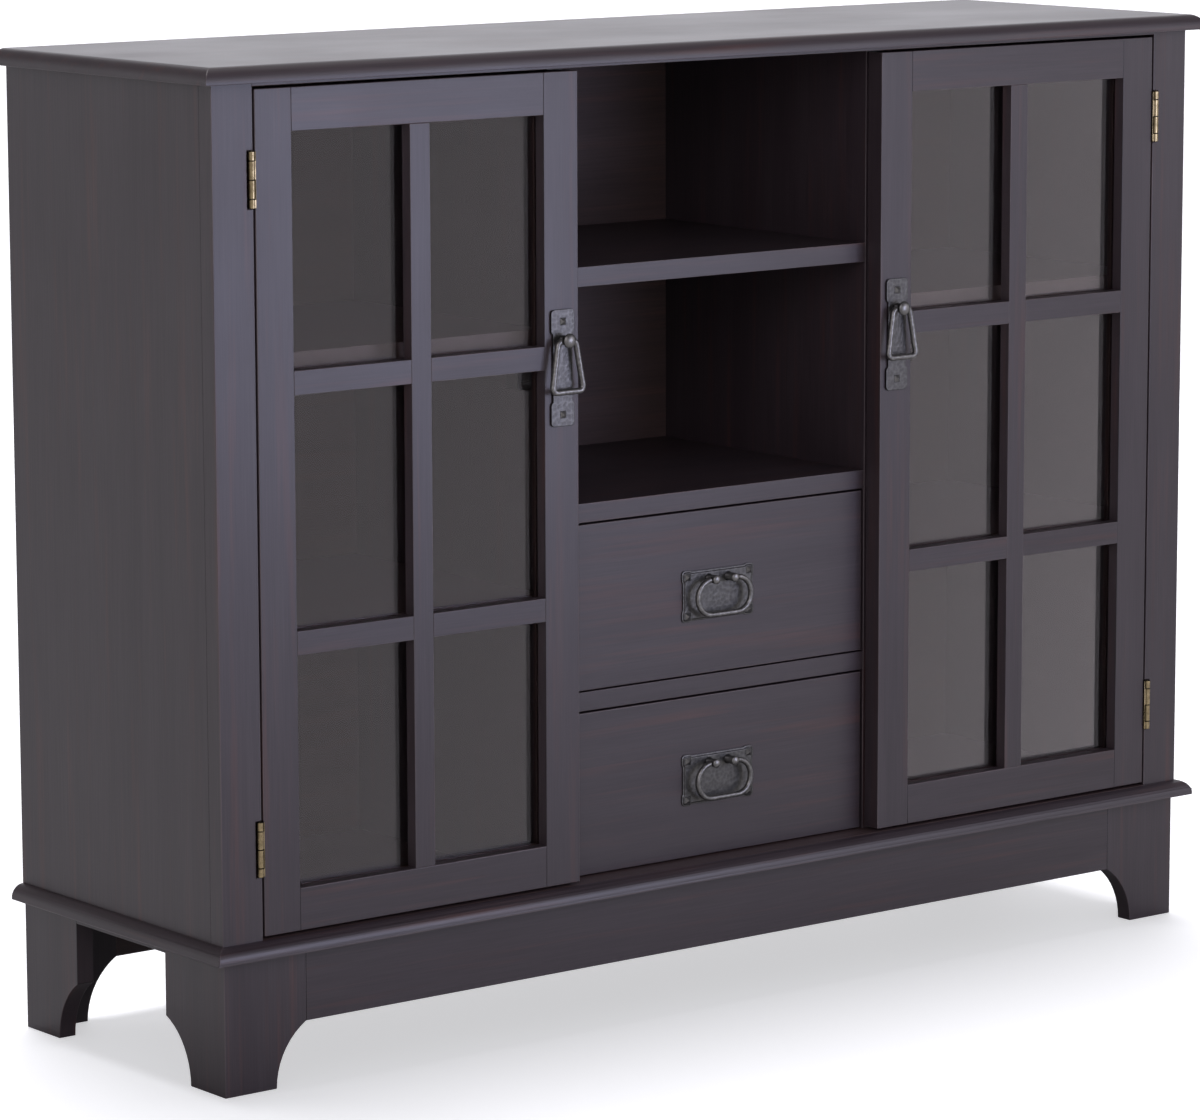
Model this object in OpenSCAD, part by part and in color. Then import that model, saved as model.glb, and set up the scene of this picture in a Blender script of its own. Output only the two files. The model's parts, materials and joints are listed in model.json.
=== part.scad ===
// China cabinet: two glazed side cupboards, an open centre bay and two drawers.
// Millimetres, +Z up, front towards -Y, origin on the floor at the centre of the footprint.

/* [Case] */
// Overall height, floor to the flat of the top
overall_h = 920; // [880:5:980]
// Width over the two side panels
body_w = 1172; // [1120:4:1240]
// Depth from the door face to the back panel's rear face
body_d = 334; // [320:2:380]
// Thickness of the side panels
side_t = 18.5; // [16:0.5:20]
// Thickness of the two partitions
partition_t = 18; // [16:0.5:20]
// Width of the front posts that carry the hinges
post_w = 43.5; // [40:0.5:50]
// Depth of the front posts, seen as a strip on the side
post_t = 19; // [18:0.5:22]
// Thickness of the back panel
back_t = 4; // [3:0.5:6]
// Depth of the rebate that takes the back panel's edge
back_rebate = 8.5; // [6:0.5:10]
// Setback of the bay's shelf edges and drawer fronts behind the door face
bay_setback = 23; // [22.5:0.5:26]

/* [Top] */
// Thickness of the top board
top_t = 15; // [14:0.5:20]
// Overhang of the top at the front and both sides
top_over = 14.5; // [13.5:0.5:18]
// Height of the square lip below the moulded edges
lip_h = 1.5; // [1:0.25:2]
// Height of the strip above the doors
strip_h = 3.5; // [3:0.5:6]

/* [Base] */
// Height of the underside of the base moulding
base_h = 125; // [118:1:132]
// Overhang of the base moulding
mould_over = 13; // [11:0.5:15]
// Setback of the feet and aprons behind the case faces
foot_inset = 2; // [1:0.5:4]
// Thickness of feet and aprons
foot_t = 18; // [16:0.5:20]
// Foot width at the top, measured from its outer corner
foot_w = 89; // [84:1:100]
// Foot width along the side
foot_side_w = 95; // [88:1:100]
// Foot width on the floor
foot_toe = 56; // [50:1:60]
// Height of the apron's lower edge
apron_z = 58; // [52:1:64]
// Height of the side rail's lower edge
side_rail_z = 116; // [112:1:117]

/* [Doors] */
// Door width
door_w = 356.5; // [340:0.5:362]
// Door thickness
door_t = 20; // [19:0.5:21]
// Gap between the post and the door edge
door_gap = 2; // [1.8:0.1:2.5]
// Gap above the door
door_gap_top = 2.5; // [2:0.25:4]
// Gap below the door
door_gap_bot = 3; // [2:0.25:4]
// Width of stiles and rails
frame_w = 39; // [36:0.5:44]
// Width of the glazing bars
muntin_w = 22; // [18:0.5:26]
// Depth from the door face to the glass
glass_y = 12.5; // [11:0.5:13]
// Glass thickness
glass_t = 3; // [3:0.5:4]
// Width of the rebate around the glass
rebate_w = 8; // [7:0.5:10]

/* [Bay and drawers] */
// Top face of the fixed centre shelf
shelf_top = 715.5; // [700:0.5:730]
// Thickness of the fixed centre shelf
shelf_t = 18.5; // [16:0.5:20]
// Top face of the deck over the drawers
deck_top = 494.5; // [490:0.5:505]
// Thickness of the deck and the divider rail
deck_t = 18; // [16:0.5:20]
// Top face of the rail between the drawers
divider_top = 316; // [310:0.5:322]
// Gap around the drawer fronts
drawer_gap = 3; // [2.5:0.5:4]
// Thickness of the drawer fronts
drawer_front_t = 18; // [17:0.5:20]
// Length of a drawer box behind its front
drawer_len = 259; // [240:1:262]
// Thickness of the drawer sides and back
drawer_side_t = 12; // [10:0.5:14]
// Height of a drawer box
drawer_box_h = 112; // [90:1:120]

/* [Adjustable shelves] */
// Top face of the upper shelf
upper_shelf = 661; // [650:1:680]
// Top face of the lower shelf
lower_shelf = 413.5; // [400:0.5:430]
// Shelf thickness
adj_t = 16; // [15:0.5:18]
// Setback of the shelf's front edge
adj_setback = 30; // [26:1:60]

/* [Hinges] */
// Height of the upper hinge's centre
hinge_hi = 820; // [800:1:830]
// Height of the lower hinge's centre
hinge_lo = 222.8; // [210:0.2:240]
// Hinge length
hinge_len = 50.4; // [48:0.4:56]
// Knuckle radius
knuckle_r = 3.3; // [3:0.1:3.3]
// Pin radius
hinge_pin_r = 1.3; // [1.1:0.1:1.5]

/* [Pulls] */
// Height of the door pull's centre
door_pull_z = 627.5; // [600:0.5:650]
// Door pull plate height
door_plate_h = 108; // [100:1:112]
// Door pull plate width over its lobes
door_plate_w = 27; // [25:0.5:29]
// Drawer pull plate width
drawer_plate_w = 88; // [84:1:96]
// Drawer pull plate height
drawer_plate_h = 50; // [48:1:56]
// Running clearance of the pulls and hinge pins
running = 0.06; // [0.02:0.02:0.1]

/* [Hidden] */
$fn = 48;
half_w = body_w / 2;
case_top = overall_h - top_t;
mould_h = mould_over + lip_h;
floor_z = base_h + mould_h;
pull_out = 15.5;
front_shift = -(body_d - pull_out) / 2;
hinge_edge = half_w - post_w;
door_out = hinge_edge - door_gap;
bay_half = door_out - door_w;
door_z0 = floor_z + door_gap_bot;
door_z1 = case_top - strip_h - door_gap_top;
lite_h = (door_z1 - door_z0 - 2 * frame_w - 2 * muntin_w) / 3;
lite_w = (door_w - 2 * frame_w - muntin_w) / 2;
door_mid = (door_out + bay_half) / 2;
back_y = body_d - back_t;
cup_in = bay_half + partition_t;
cup_out = half_w - side_t;
pin_x = hinge_edge + 2.5;
pin_y = -0.5;
leaf_gap_x = door_out + 0.8;
leaf_d = 17;
hinge_clear = 0.3;
shelf_pin_r = 2.5;
shelf_pin_in = 8;
shelf_pin_out = 9;
shelf_fit = 0.7;
pin_rows = [60, 290];
deck_z = deck_top - deck_t;
divider_z = divider_top - deck_t;
runner_w = 24;
rail_depth = 60;
drawer_clear = 0.3;
ply_t = 5;
groove_d = 5;
joint_line = 0.1;
nail_r = 0.9;
nail_len = 8;
nail_fit = 0.05;
shank_len = 13.5;
door_nail_z = 43;
door_post_z = 26;
plate_t = 2.2;
bail_y = -8;
bail_r = 2;
neck_r = 3.2;
head_r = 5.4;
head_back = 11.4;
head_rim = 1.4;
drawer_post_x = 11.5;
post_len = 14;
drawer_post_z = 15.3;
ring_y = -11.2;
ring_r = 1.9;
ring_bend = 17.2;
ring_half = 16;
post_r = 3.5;
drawer_nail_x = drawer_plate_w / 2 - 6.5;
drawer_nail_z = drawer_plate_h / 2 - 6.2;
pull_drop = 2.5;
far = 2000;

wood = [0.24, 0.19, 0.19];
wood_dark = [0.16, 0.11, 0.10];
iron = [0.22, 0.22, 0.24];
brass = [0.55, 0.45, 0.27];
clear = [0.75, 0.80, 0.82, 0.35];
black = [0.05, 0.05, 0.05];

// ---- shared helpers -------------------------------------------------------

// Moves a piece from the door-face datum to the footprint-centred origin.
module place() {
    translate([0, front_shift, 0]) children();
}

// Box given by its low and high corners.
module slab(lo, hi) {
    translate(lo) cube(hi - lo);
}

// Draws a right-hand piece and its mirror image on the left.
module both() {
    children();
    mirror([1, 0, 0]) children();
}

// Quarter-round edge profile: outer lip at u = -over, solid from there inwards.
module edge_profile(over, height, run) {
    r = height - lip_h;
    flat = over - r + run;
    translate([-over, 0]) square([over + run, lip_h]);
    if (flat > 0) translate([-over + r, 0]) square([flat, height]);
    intersection() {
        translate([-over + r, lip_h]) circle(r);
        translate([-over, 0]) square([r, height]);
    }
}

// Turns a (y, z) outline into a solid that spans x0 to x1.
module along_x(x0, x1) {
    translate([x0, 0, 0]) rotate([90, 0, 90]) linear_extrude(x1 - x0) children();
}

// Turns an (x, z) outline into a solid that spans y0 to y1.
module along_y(y0, y1) {
    translate([0, y1, 0]) rotate([90, 0, 0]) linear_extrude(y1 - y0) children();
}

// Cylinder along Y from y0 to y1.
module rod_y(y0, y1, r) {
    translate([0, y1, 0]) rotate([90, 0, 0]) cylinder(h = y1 - y0, r = r);
}

// Cylinder along X from x0 to x1.
module rod_x(x0, x1, r) {
    translate([x0, 0, 0]) rotate([0, 90, 0]) cylinder(h = x1 - x0, r = r);
}

// Rectangle with round corners, centred.
module round_rect(w, h, r) {
    square([w - 2 * r, h], center = true);
    square([w, h - 2 * r], center = true);
    for (x = [-1, 1]) for (z = [-1, 1]) {
        translate([x * (w / 2 - r), z * (h / 2 - r)]) circle(r);
    }
}

// ---- top ------------------------------------------------------------------

module top_board() {
    color(wood) place() translate([0, 0, case_top]) intersection() {
        along_x(-far, far) edge_profile(top_over, top_t, body_d);
        along_y(-far, body_d) union() {
            translate([-half_w, 0]) edge_profile(top_over, top_t, half_w);
            mirror([1, 0]) translate([-half_w, 0]) edge_profile(top_over, top_t, half_w);
        }
    }
}

module top_strip() {
    color(wood) place() {
        slab([-hinge_edge, 0, case_top - strip_h], [hinge_edge, door_t, case_top]);
    }
}

// ---- case -----------------------------------------------------------------

// Places a child at both hinge heights.
module at_hinges() {
    for (z = [hinge_lo, hinge_hi]) translate([0, 0, z]) children();
}

// Holes for the shelf pins, on one wall of a cupboard.
module pin_set(x0, x1, r) {
    for (z = [lower_shelf, upper_shelf]) for (y = pin_rows) {
        translate([0, y, z - adj_t - shelf_pin_r]) rod_x(x0, x1, r);
    }
}

module side_panel() {
    difference() {
        slab([cup_out, post_t, base_h], [half_w, body_d, case_top]);
        slab([cup_out - 1, back_y, base_h - 1], [cup_out + back_rebate, body_d + 1, far]);
        pin_set(cup_out - 1, cup_out + shelf_pin_in, shelf_pin_r);
    }
}

module left_side_panel() {
    color(wood) place() mirror([1, 0, 0]) side_panel();
}

module right_side_panel() {
    color(wood) place() side_panel();
}

module front_posts() {
    notch = knuckle_r + 0.6;
    half_len = hinge_len / 2;
    color(wood) place() both() difference() {
        slab([hinge_edge, 0, base_h], [half_w, post_t, case_top]);
        at_hinges() {
            slab([hinge_edge - 1, -1, -half_len - 0.5],
                 [pin_x + notch, pin_y + notch, half_len + 0.5]);
            slab([hinge_edge - 1, 0, -half_len], [hinge_edge + 1, leaf_d, half_len]);
        }
    }
}

module partitions() {
    color(wood) place() both() difference() {
        slab([bay_half, bay_setback, floor_z], [cup_in, back_y, case_top]);
        pin_set(cup_in - shelf_pin_in, cup_in + 1, shelf_pin_r);
    }
}

module bottom_panel() {
    color(wood) place() union() {
        slab([-cup_out, post_t, base_h], [cup_out, back_y, floor_z]);
        slab([-hinge_edge, 0, base_h], [hinge_edge, post_t + 1, floor_z]);
    }
}

module back_panel() {
    reach = cup_out + back_rebate;
    color(wood_dark) place() slab([-reach, back_y, base_h], [reach, body_d, case_top]);
}

module centre_shelf() {
    color(wood) place() {
        slab([-bay_half, bay_setback, shelf_top - shelf_t], [bay_half, back_y, shelf_top]);
    }
}

module drawer_deck() {
    color(wood) place() {
        slab([-bay_half, bay_setback, deck_z], [bay_half, back_y, deck_top]);
    }
}

module drawer_divider_rail() {
    color(wood) place() {
        slab([-bay_half, bay_setback, divider_z],
             [bay_half, bay_setback + rail_depth, divider_top]);
    }
}

module drawer_runners() {
    color(wood_dark) place() both() {
        slab([bay_half - runner_w, bay_setback + rail_depth, divider_z],
             [bay_half, back_y, divider_top]);
    }
}

module adjustable_shelves() {
    color(wood) place() both() for (z = [lower_shelf, upper_shelf]) {
        slab([cup_in + shelf_fit, adj_setback, z - adj_t],
             [cup_out - shelf_fit, back_y - 1, z]);
    }
}

module shelf_pins() {
    color(brass) place() both() {
        pin_set(cup_out - shelf_pin_out, cup_out + shelf_pin_in, shelf_pin_r);
        pin_set(cup_in - shelf_pin_in, cup_in + shelf_pin_out, shelf_pin_r);
    }
}

catch_y = door_t + 1.5;
catch_w = 36;
catch_d = 18;
catch_h = 16;
catch_z = 615;

module door_catches() {
    color(black) place() both() difference() {
        slab([cup_in, catch_y, catch_z - catch_h / 2],
             [cup_in + catch_w, catch_y + catch_d, catch_z + catch_h / 2]);
        slab([cup_in + 3, catch_y - 1, catch_z - 1.5],
             [cup_in + catch_w - 3, catch_y + 1.5, catch_z + 1.5]);
    }
}

// ---- base -----------------------------------------------------------------

module base_moulding() {
    reach = half_w + mould_over;
    color(wood) place() translate([0, 0, base_h]) {
        intersection() {
            along_x(-reach, reach) edge_profile(mould_over, mould_h, 0);
            linear_extrude(mould_h) polygon([
                [-reach, -mould_over], [reach, -mould_over], [half_w, 0], [-half_w, 0]
            ]);
        }
        both() intersection() {
            along_y(-mould_over, body_d) {
                mirror([1, 0]) translate([-half_w, 0]) edge_profile(mould_over, mould_h, 0);
            }
            linear_extrude(mould_h) polygon([
                [half_w, 0], [reach, -mould_over], [reach, body_d], [half_w, body_d]
            ]);
        }
    }
}

foot_out = half_w - foot_inset;
apron_half = foot_out - foot_w;

module front_apron() {
    color(wood) place() {
        slab([-apron_half, foot_inset, apron_z], [apron_half, foot_inset + foot_t, base_h]);
    }
}

module back_apron() {
    color(wood) place() {
        slab([-apron_half, body_d - foot_t, apron_z], [apron_half, body_d, base_h]);
    }
}

module side_rails() {
    color(wood) place() both() {
        slab([foot_out - foot_t, foot_inset + foot_side_w, side_rail_z],
             [foot_out, body_d - foot_w, base_h]);
    }
}

// Bracket outline from its outer corner at u = 0: a toe, a hollow curve, then full width.
module bracket(width) {
    spread = width - foot_toe;
    bow = (spread * spread + apron_z * apron_z) / (2 * spread);
    difference() {
        square([width, base_h]);
        intersection() {
            translate([foot_toe + bow, 0]) circle(bow, $fn = 96);
            translate([foot_toe - 1, -1]) square([spread + 2, apron_z + 1]);
        }
    }
}

module bracket_feet() {
    inner_y = foot_inset + foot_t;
    color(wood) place() both() {
        intersection() {
            along_y(foot_inset, inner_y) translate([foot_out, 0]) mirror([1, 0]) bracket(foot_w);
            linear_extrude(base_h) polygon([
                [0, foot_inset], [foot_out, foot_inset], [foot_out - foot_t, inner_y],
                [0, inner_y]
            ]);
        }
        intersection() {
            along_x(foot_out - foot_t, foot_out) {
                translate([foot_inset, 0]) bracket(foot_side_w);
            }
            linear_extrude(base_h) polygon([
                [foot_out, foot_inset], [foot_out, body_d], [foot_out - foot_t, body_d],
                [foot_out - foot_t, inner_y]
            ]);
        }
        intersection() {
            along_x(foot_out - foot_t, foot_out) {
                translate([body_d, 0]) mirror([1, 0]) bracket(foot_w);
            }
            slab([0, 0, 0], [far, body_d - foot_t, base_h]);
        }
        along_y(body_d - foot_t, body_d) translate([foot_out, 0]) mirror([1, 0]) bracket(foot_w);
    }
}

// ---- hinges ---------------------------------------------------------------

// Knuckle heights run 1 : 2 : 2 : 1 from the top, post first.
unit = hinge_len / 6;
post_knuckles = [[-unit * 2, 0], [unit * 2, unit * 3]];
door_knuckles = [[-unit * 3, -unit * 2], [0, unit * 2]];

module knuckle(span) {
    translate([pin_x, pin_y, span[0] + hinge_clear / 2]) {
        cylinder(h = span[1] - span[0] - hinge_clear, r = knuckle_r);
    }
}

module hinge_post_leaves() {
    color(brass) place() both() at_hinges() difference() {
        union() {
            for (span = post_knuckles) knuckle(span);
            slab([hinge_edge, 1.2, -hinge_len / 2], [hinge_edge + 1, leaf_d, hinge_len / 2]);
        }
        for (span = door_knuckles) {
            slab([hinge_edge - 1, -far, span[0] - hinge_clear / 2],
                 [far, pin_y + knuckle_r + 0.5, span[1] + hinge_clear / 2]);
        }
        translate([pin_x, pin_y, -far / 2]) cylinder(h = far, r = hinge_pin_r + running);
    }
}

module hinge_pins() {
    color(brass) place() both() at_hinges() {
        translate([pin_x, pin_y, -hinge_len / 2]) cylinder(h = hinge_len, r = hinge_pin_r);
        translate([pin_x, pin_y, hinge_len / 2]) cylinder(h = 0.4, r = hinge_pin_r + 0.6);
    }
}

// Door half of both hinges of the right-hand door.
module door_leaves() {
    at_hinges() difference() {
        union() {
            for (span = door_knuckles) {
                knuckle(span);
                slab([door_out, pin_y - 1.3, span[0] + hinge_clear / 2],
                     [pin_x - 1, pin_y + 1.3, span[1] - hinge_clear / 2]);
            }
            slab([door_out, pin_y - 1.3, -hinge_len / 2], [leaf_gap_x, leaf_d, hinge_len / 2]);
        }
        translate([pin_x, pin_y, -far / 2]) cylinder(h = far, r = hinge_pin_r + running);
    }
}

// ---- door -----------------------------------------------------------------

glass_in = bay_half + frame_w - rebate_w;
glass_out = door_out - frame_w + rebate_w;
glass_z0 = door_z0 + frame_w - rebate_w;
glass_z1 = door_z1 - frame_w + rebate_w;
pull_x = bay_half + frame_w / 2;

module door_rebate() {
    slab([glass_in, glass_y, glass_z0], [glass_out, door_t + 1, glass_z1]);
}

// Shank holes of the pull, drawn as solids at the pull's place on the door.
module door_pull_holes() {
    translate([pull_x, 0, door_pull_z]) {
        for (z = [-1, 1]) translate([0, 0, z * door_nail_z]) {
            rod_y(-1, nail_len, nail_r + nail_fit);
        }
        translate([0, 0, door_post_z]) rod_y(-1, 14, bail_r + nail_fit);
    }
}

module door_stiles() {
    for (x = [bay_half, door_out - frame_w]) difference() {
        slab([x, 0, door_z0], [x + frame_w, door_t, door_z1]);
        door_rebate();
        door_pull_holes();
    }
}

module door_rails() {
    for (z = [door_z0, door_z1 - frame_w]) difference() {
        slab([bay_half + frame_w, 0, z], [door_out - frame_w, door_t, z + frame_w]);
        door_rebate();
    }
}

module door_muntins() {
    lite_z = door_z0 + frame_w;
    slab([door_mid - muntin_w / 2, 0, lite_z],
         [door_mid + muntin_w / 2, glass_y, door_z1 - frame_w]);
    for (row = [1, 2]) for (side = [0, 1]) {
        z = lite_z + row * lite_h + (row - 1) * muntin_w;
        x = bay_half + frame_w + side * (lite_w + muntin_w + joint_line);
        slab([x, 0, z], [x + lite_w - joint_line, glass_y, z + muntin_w]);
    }
}

module door_glass() {
    slab([glass_in + 0.5, glass_y, glass_z0 + 0.5],
         [glass_out - 0.5, glass_y + glass_t, glass_z1 - 0.5]);
}

module door_beads() {
    y0 = glass_y + glass_t;
    for (x = [glass_in, glass_out - rebate_w]) {
        slab([x, y0, glass_z0], [x + rebate_w, door_t, glass_z1]);
    }
    for (z = [glass_z0, glass_z1 - rebate_w]) {
        slab([glass_in + rebate_w + joint_line, y0, z],
             [glass_out - rebate_w - joint_line, door_t, z + rebate_w]);
    }
}

module strike_plate() {
    slab([cup_in + 1, door_t, catch_z - 6], [cup_in + 12, door_t + 1, catch_z + 6]);
}

module left_door_stiles() {
    color(wood) place() mirror([1, 0, 0]) door_stiles();
}

module right_door_stiles() {
    color(wood) place() door_stiles();
}

module left_door_rails() {
    color(wood) place() mirror([1, 0, 0]) door_rails();
}

module right_door_rails() {
    color(wood) place() door_rails();
}

module left_door_muntins() {
    color(wood) place() mirror([1, 0, 0]) door_muntins();
}

module right_door_muntins() {
    color(wood) place() door_muntins();
}

module left_door_glass() {
    color(clear) place() mirror([1, 0, 0]) door_glass();
}

module right_door_glass() {
    color(clear) place() door_glass();
}

module left_door_glass_beads() {
    color(wood_dark) place() mirror([1, 0, 0]) door_beads();
}

module right_door_glass_beads() {
    color(wood_dark) place() door_beads();
}

module left_door_strike_plate() {
    color(iron) place() mirror([1, 0, 0]) strike_plate();
}

module right_door_strike_plate() {
    color(iron) place() strike_plate();
}

module left_door_hinge_leaves() {
    color(brass) place() mirror([1, 0, 0]) door_leaves();
}

module right_door_hinge_leaves() {
    color(brass) place() door_leaves();
}

// ---- door pull: plate, two nails, one post, one bail ------------------------

// Square pyramid nail head on the face at y = 0, with its shank behind.
module nail(size, height, face) {
    intersection() {
        along_x(-far, far) polygon([[face, -size / 2], [face - height, 0], [face, size / 2]]);
        along_y(-far, far) square([size, size], center = true);
        rotate([0, 90, 0]) along_x(-far, far) {
            polygon([[face, -size / 2], [face - height, 0], [face, size / 2]]);
        }
    }
    rod_y(face, nail_len - 0.5, nail_r);
}

module at_door_pull(side) {
    translate([side * pull_x, 0, door_pull_z]) children();
}

module door_pull_plate() {
    lobe_h = 23;
    difference() {
        along_y(-plate_t, 0) difference() {
            union() {
                for (z = [-1, 1]) translate([0, z * (door_plate_h - lobe_h) / 2]) {
                    round_rect(door_plate_w, lobe_h, 4);
                }
                square([door_plate_w - 4.5, door_plate_h - lobe_h], center = true);
            }
            for (z = [-1, 1]) translate([0, z * door_nail_z]) circle(nail_r + nail_fit);
            translate([0, door_post_z]) circle(bail_r + nail_fit);
        }
    }
}

module door_pull_nails() {
    for (z = [-1, 1]) translate([0, 0, z * door_nail_z]) nail(5.4, 2.2, -plate_t);
}

// Half outline of a domed head of radius r and height h, flat side at v = face.
module dome_profile(r, h, face) {
    ball = (r * r + h * h) / (2 * h);
    intersection() {
        translate([0, face + h - ball]) circle(ball);
        translate([0, face]) square([r + 1, h + 1]);
    }
}

// Turned piece standing out of the face: u is the radius, v the distance outwards.
module turned() {
    rotate([90, 0, 0]) rotate_extrude() children();
}

module door_pull_post() {
    translate([0, 0, door_post_z]) {
        difference() {
            turned() {
                translate([0, -shank_len]) square([bail_r, shank_len + plate_t + 0.5]);
                translate([0, plate_t]) square([4.4, 0.9]);
                translate([0, plate_t]) square([neck_r, head_back + 1 - plate_t]);
                translate([0, head_back]) square([head_r, head_rim]);
                dome_profile(head_r, pull_out - head_back - head_rim, head_back + head_rim);
            }
            translate([0, bail_y, 0]) rod_x(-far, far, bail_r + running);
        }
    }
}

module door_pull_bail() {
    half_t = 2;
    translate([0, bail_y, door_post_z]) {
        difference() {
            along_y(-half_t, half_t) difference() {
                polygon([
                    [-9.5, 2], [9.5, 2], [19.5, -46.3], [18.9, -49], [16.5, -50.5],
                    [-16.5, -50.5], [-18.9, -49], [-19.5, -46.3]
                ]);
                polygon([
                    [-5.6, -2.2], [5.6, -2.2], [14.8, -44], [14.1, -45.4],
                    [-14.1, -45.4], [-14.8, -44]
                ]);
            }
            slab([-4.5, -far, -3], [4.5, far, 3]);
        }
        rod_x(-5.5, 5.5, bail_r);
    }
}

module left_door_pull_plate() {
    color(iron) place() at_door_pull(-1) door_pull_plate();
}

module right_door_pull_plate() {
    color(iron) place() at_door_pull(1) door_pull_plate();
}

module left_door_pull_nails() {
    color(iron) place() at_door_pull(-1) door_pull_nails();
}

module right_door_pull_nails() {
    color(iron) place() at_door_pull(1) door_pull_nails();
}

module left_door_pull_post() {
    color(iron) place() at_door_pull(-1) door_pull_post();
}

module right_door_pull_post() {
    color(iron) place() at_door_pull(1) door_pull_post();
}

module left_door_pull_bail() {
    color(iron) place() at_door_pull(-1) door_pull_bail();
}

module right_door_pull_bail() {
    color(iron) place() at_door_pull(1) door_pull_bail();
}

// ---- drawers --------------------------------------------------------------

// A drawer runs on the surface at height base, under a member at height lid.
function front_z0(base) = base + 1.5;
function front_z1(lid) = lid - 2;
function pull_z(base, lid) = (front_z0(base) + front_z1(lid)) / 2 - pull_drop;

front_y1 = bay_setback + drawer_front_t;
box_half = bay_half - drawer_gap;
box_end = front_y1 + drawer_len;

module drawer_bottom(base) {
    reach = box_half - drawer_side_t + groove_d;
    slab([-reach, front_y1 - groove_d, base + 8],
         [reach, box_end - drawer_side_t, base + 8 + ply_t]);
}

module drawer_front(base, lid) {
    difference() {
        slab([-box_half, bay_setback, front_z0(base)], [box_half, front_y1, front_z1(lid)]);
        drawer_bottom(base);
        translate([0, bay_setback, pull_z(base, lid)]) {
            for (x = [-1, 1]) for (z = [-1, 1]) {
                translate([x * drawer_nail_x, 0, z * drawer_nail_z]) {
                    rod_y(-1, nail_len, nail_r + nail_fit);
                }
            }
            for (x = [-1, 1]) translate([x * drawer_post_x, 0, drawer_post_z]) {
                rod_y(-1, 14, bail_r + nail_fit);
            }
        }
    }
}

module drawer_sides(base) {
    both() difference() {
        slab([box_half - drawer_side_t, front_y1, base + drawer_clear],
             [box_half, box_end, base + drawer_clear + drawer_box_h]);
        drawer_bottom(base);
    }
}

module drawer_back(base) {
    reach = box_half - drawer_side_t;
    slab([-reach, box_end - drawer_side_t, base + 8],
         [reach, box_end, base + drawer_clear + drawer_box_h - 6]);
}

module upper_drawer_front() {
    color(wood) place() drawer_front(divider_top, deck_z);
}

module lower_drawer_front() {
    color(wood) place() drawer_front(floor_z, divider_z);
}

module upper_drawer_sides() {
    color(wood_dark) place() drawer_sides(divider_top);
}

module lower_drawer_sides() {
    color(wood_dark) place() drawer_sides(floor_z);
}

module upper_drawer_back() {
    color(wood_dark) place() drawer_back(divider_top);
}

module lower_drawer_back() {
    color(wood_dark) place() drawer_back(floor_z);
}

module upper_drawer_bottom() {
    color(wood_dark) place() drawer_bottom(divider_top);
}

module lower_drawer_bottom() {
    color(wood_dark) place() drawer_bottom(floor_z);
}

// ---- drawer pull: plate, four nails, two posts, one swinging ring -----------

module at_upper_pull() {
    translate([0, bay_setback, pull_z(divider_top, deck_z)]) children();
}

module at_lower_pull() {
    translate([0, bay_setback, pull_z(floor_z, divider_z)]) children();
}

// Plate outline with a lobe at each corner and sides stepped in between them.
module drawer_plate_outline(grow) {
    lobe = 13;
    for (x = [-1, 1]) for (z = [-1, 1]) {
        translate([x * (drawer_plate_w - lobe) / 2, z * (drawer_plate_h - lobe) / 2]) {
            round_rect(lobe + 2 * grow, lobe + 2 * grow, 4 + grow);
        }
    }
    square([drawer_plate_w - 2.4 + 2 * grow, drawer_plate_h - 2 * lobe + 6], center = true);
    square([drawer_plate_w - 2 * lobe + 6, drawer_plate_h - 2.4 + 2 * grow], center = true);
}

module drawer_pull_plate() {
    step = 1.2;
    difference() {
        union() {
            along_y(-step, 0) drawer_plate_outline(0);
            along_y(-plate_t, -step) drawer_plate_outline(-2);
        }
        for (x = [-1, 1]) for (z = [-1, 1]) {
            translate([x * drawer_nail_x, 0, z * drawer_nail_z]) {
                rod_y(-far, far, nail_r + nail_fit);
            }
        }
        for (x = [-1, 1]) translate([x * drawer_post_x, 0, drawer_post_z]) {
            rod_y(-far, far, bail_r + nail_fit);
        }
    }
}

module drawer_pull_nails() {
    for (x = [-1, 1]) for (z = [-1, 1]) {
        translate([x * drawer_nail_x, 0, z * drawer_nail_z]) nail(5.6, 2.4, -plate_t);
    }
}

module drawer_pull_posts() {
    for (x = [-1, 1]) translate([x * drawer_post_x, 0, drawer_post_z]) {
        difference() {
            turned() {
                translate([0, -shank_len]) square([bail_r, shank_len + plate_t + 0.5]);
                translate([0, plate_t]) square([4.6, 0.8]);
                translate([0, plate_t]) square([post_r, post_len - plate_t]);
                dome_profile(post_r, 1.8, post_len);
            }
            translate([0, ring_y, 0]) rod_x(min(0, x * far), max(0, x * far), 1.5 + running);
        }
    }
}

module drawer_pull_ring() {
    translate([0, ring_y, drawer_post_z]) {
        both() {
            translate([ring_half, 0, -ring_bend]) rotate([90, 0, 0]) rotate([0, 0, -90]) {
                rotate_extrude(angle = 180) translate([ring_bend, 0]) circle(ring_r, $fn = 24);
            }
            rod_x(drawer_post_x + 0.4, ring_half + 0.5, 1.5);
            rod_x(ring_half - 0.2, ring_half + 2, 2.9);
        }
        translate([0, 0, -2 * ring_bend]) rod_x(-ring_half, ring_half, ring_r);
    }
}

module upper_drawer_pull_plate() {
    color(iron) place() at_upper_pull() drawer_pull_plate();
}

module lower_drawer_pull_plate() {
    color(iron) place() at_lower_pull() drawer_pull_plate();
}

module upper_drawer_pull_nails() {
    color(iron) place() at_upper_pull() drawer_pull_nails();
}

module lower_drawer_pull_nails() {
    color(iron) place() at_lower_pull() drawer_pull_nails();
}

module upper_drawer_pull_posts() {
    color(iron) place() at_upper_pull() drawer_pull_posts();
}

module lower_drawer_pull_posts() {
    color(iron) place() at_lower_pull() drawer_pull_posts();
}

module upper_drawer_pull_ring() {
    color(iron) place() at_upper_pull() drawer_pull_ring();
}

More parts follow.
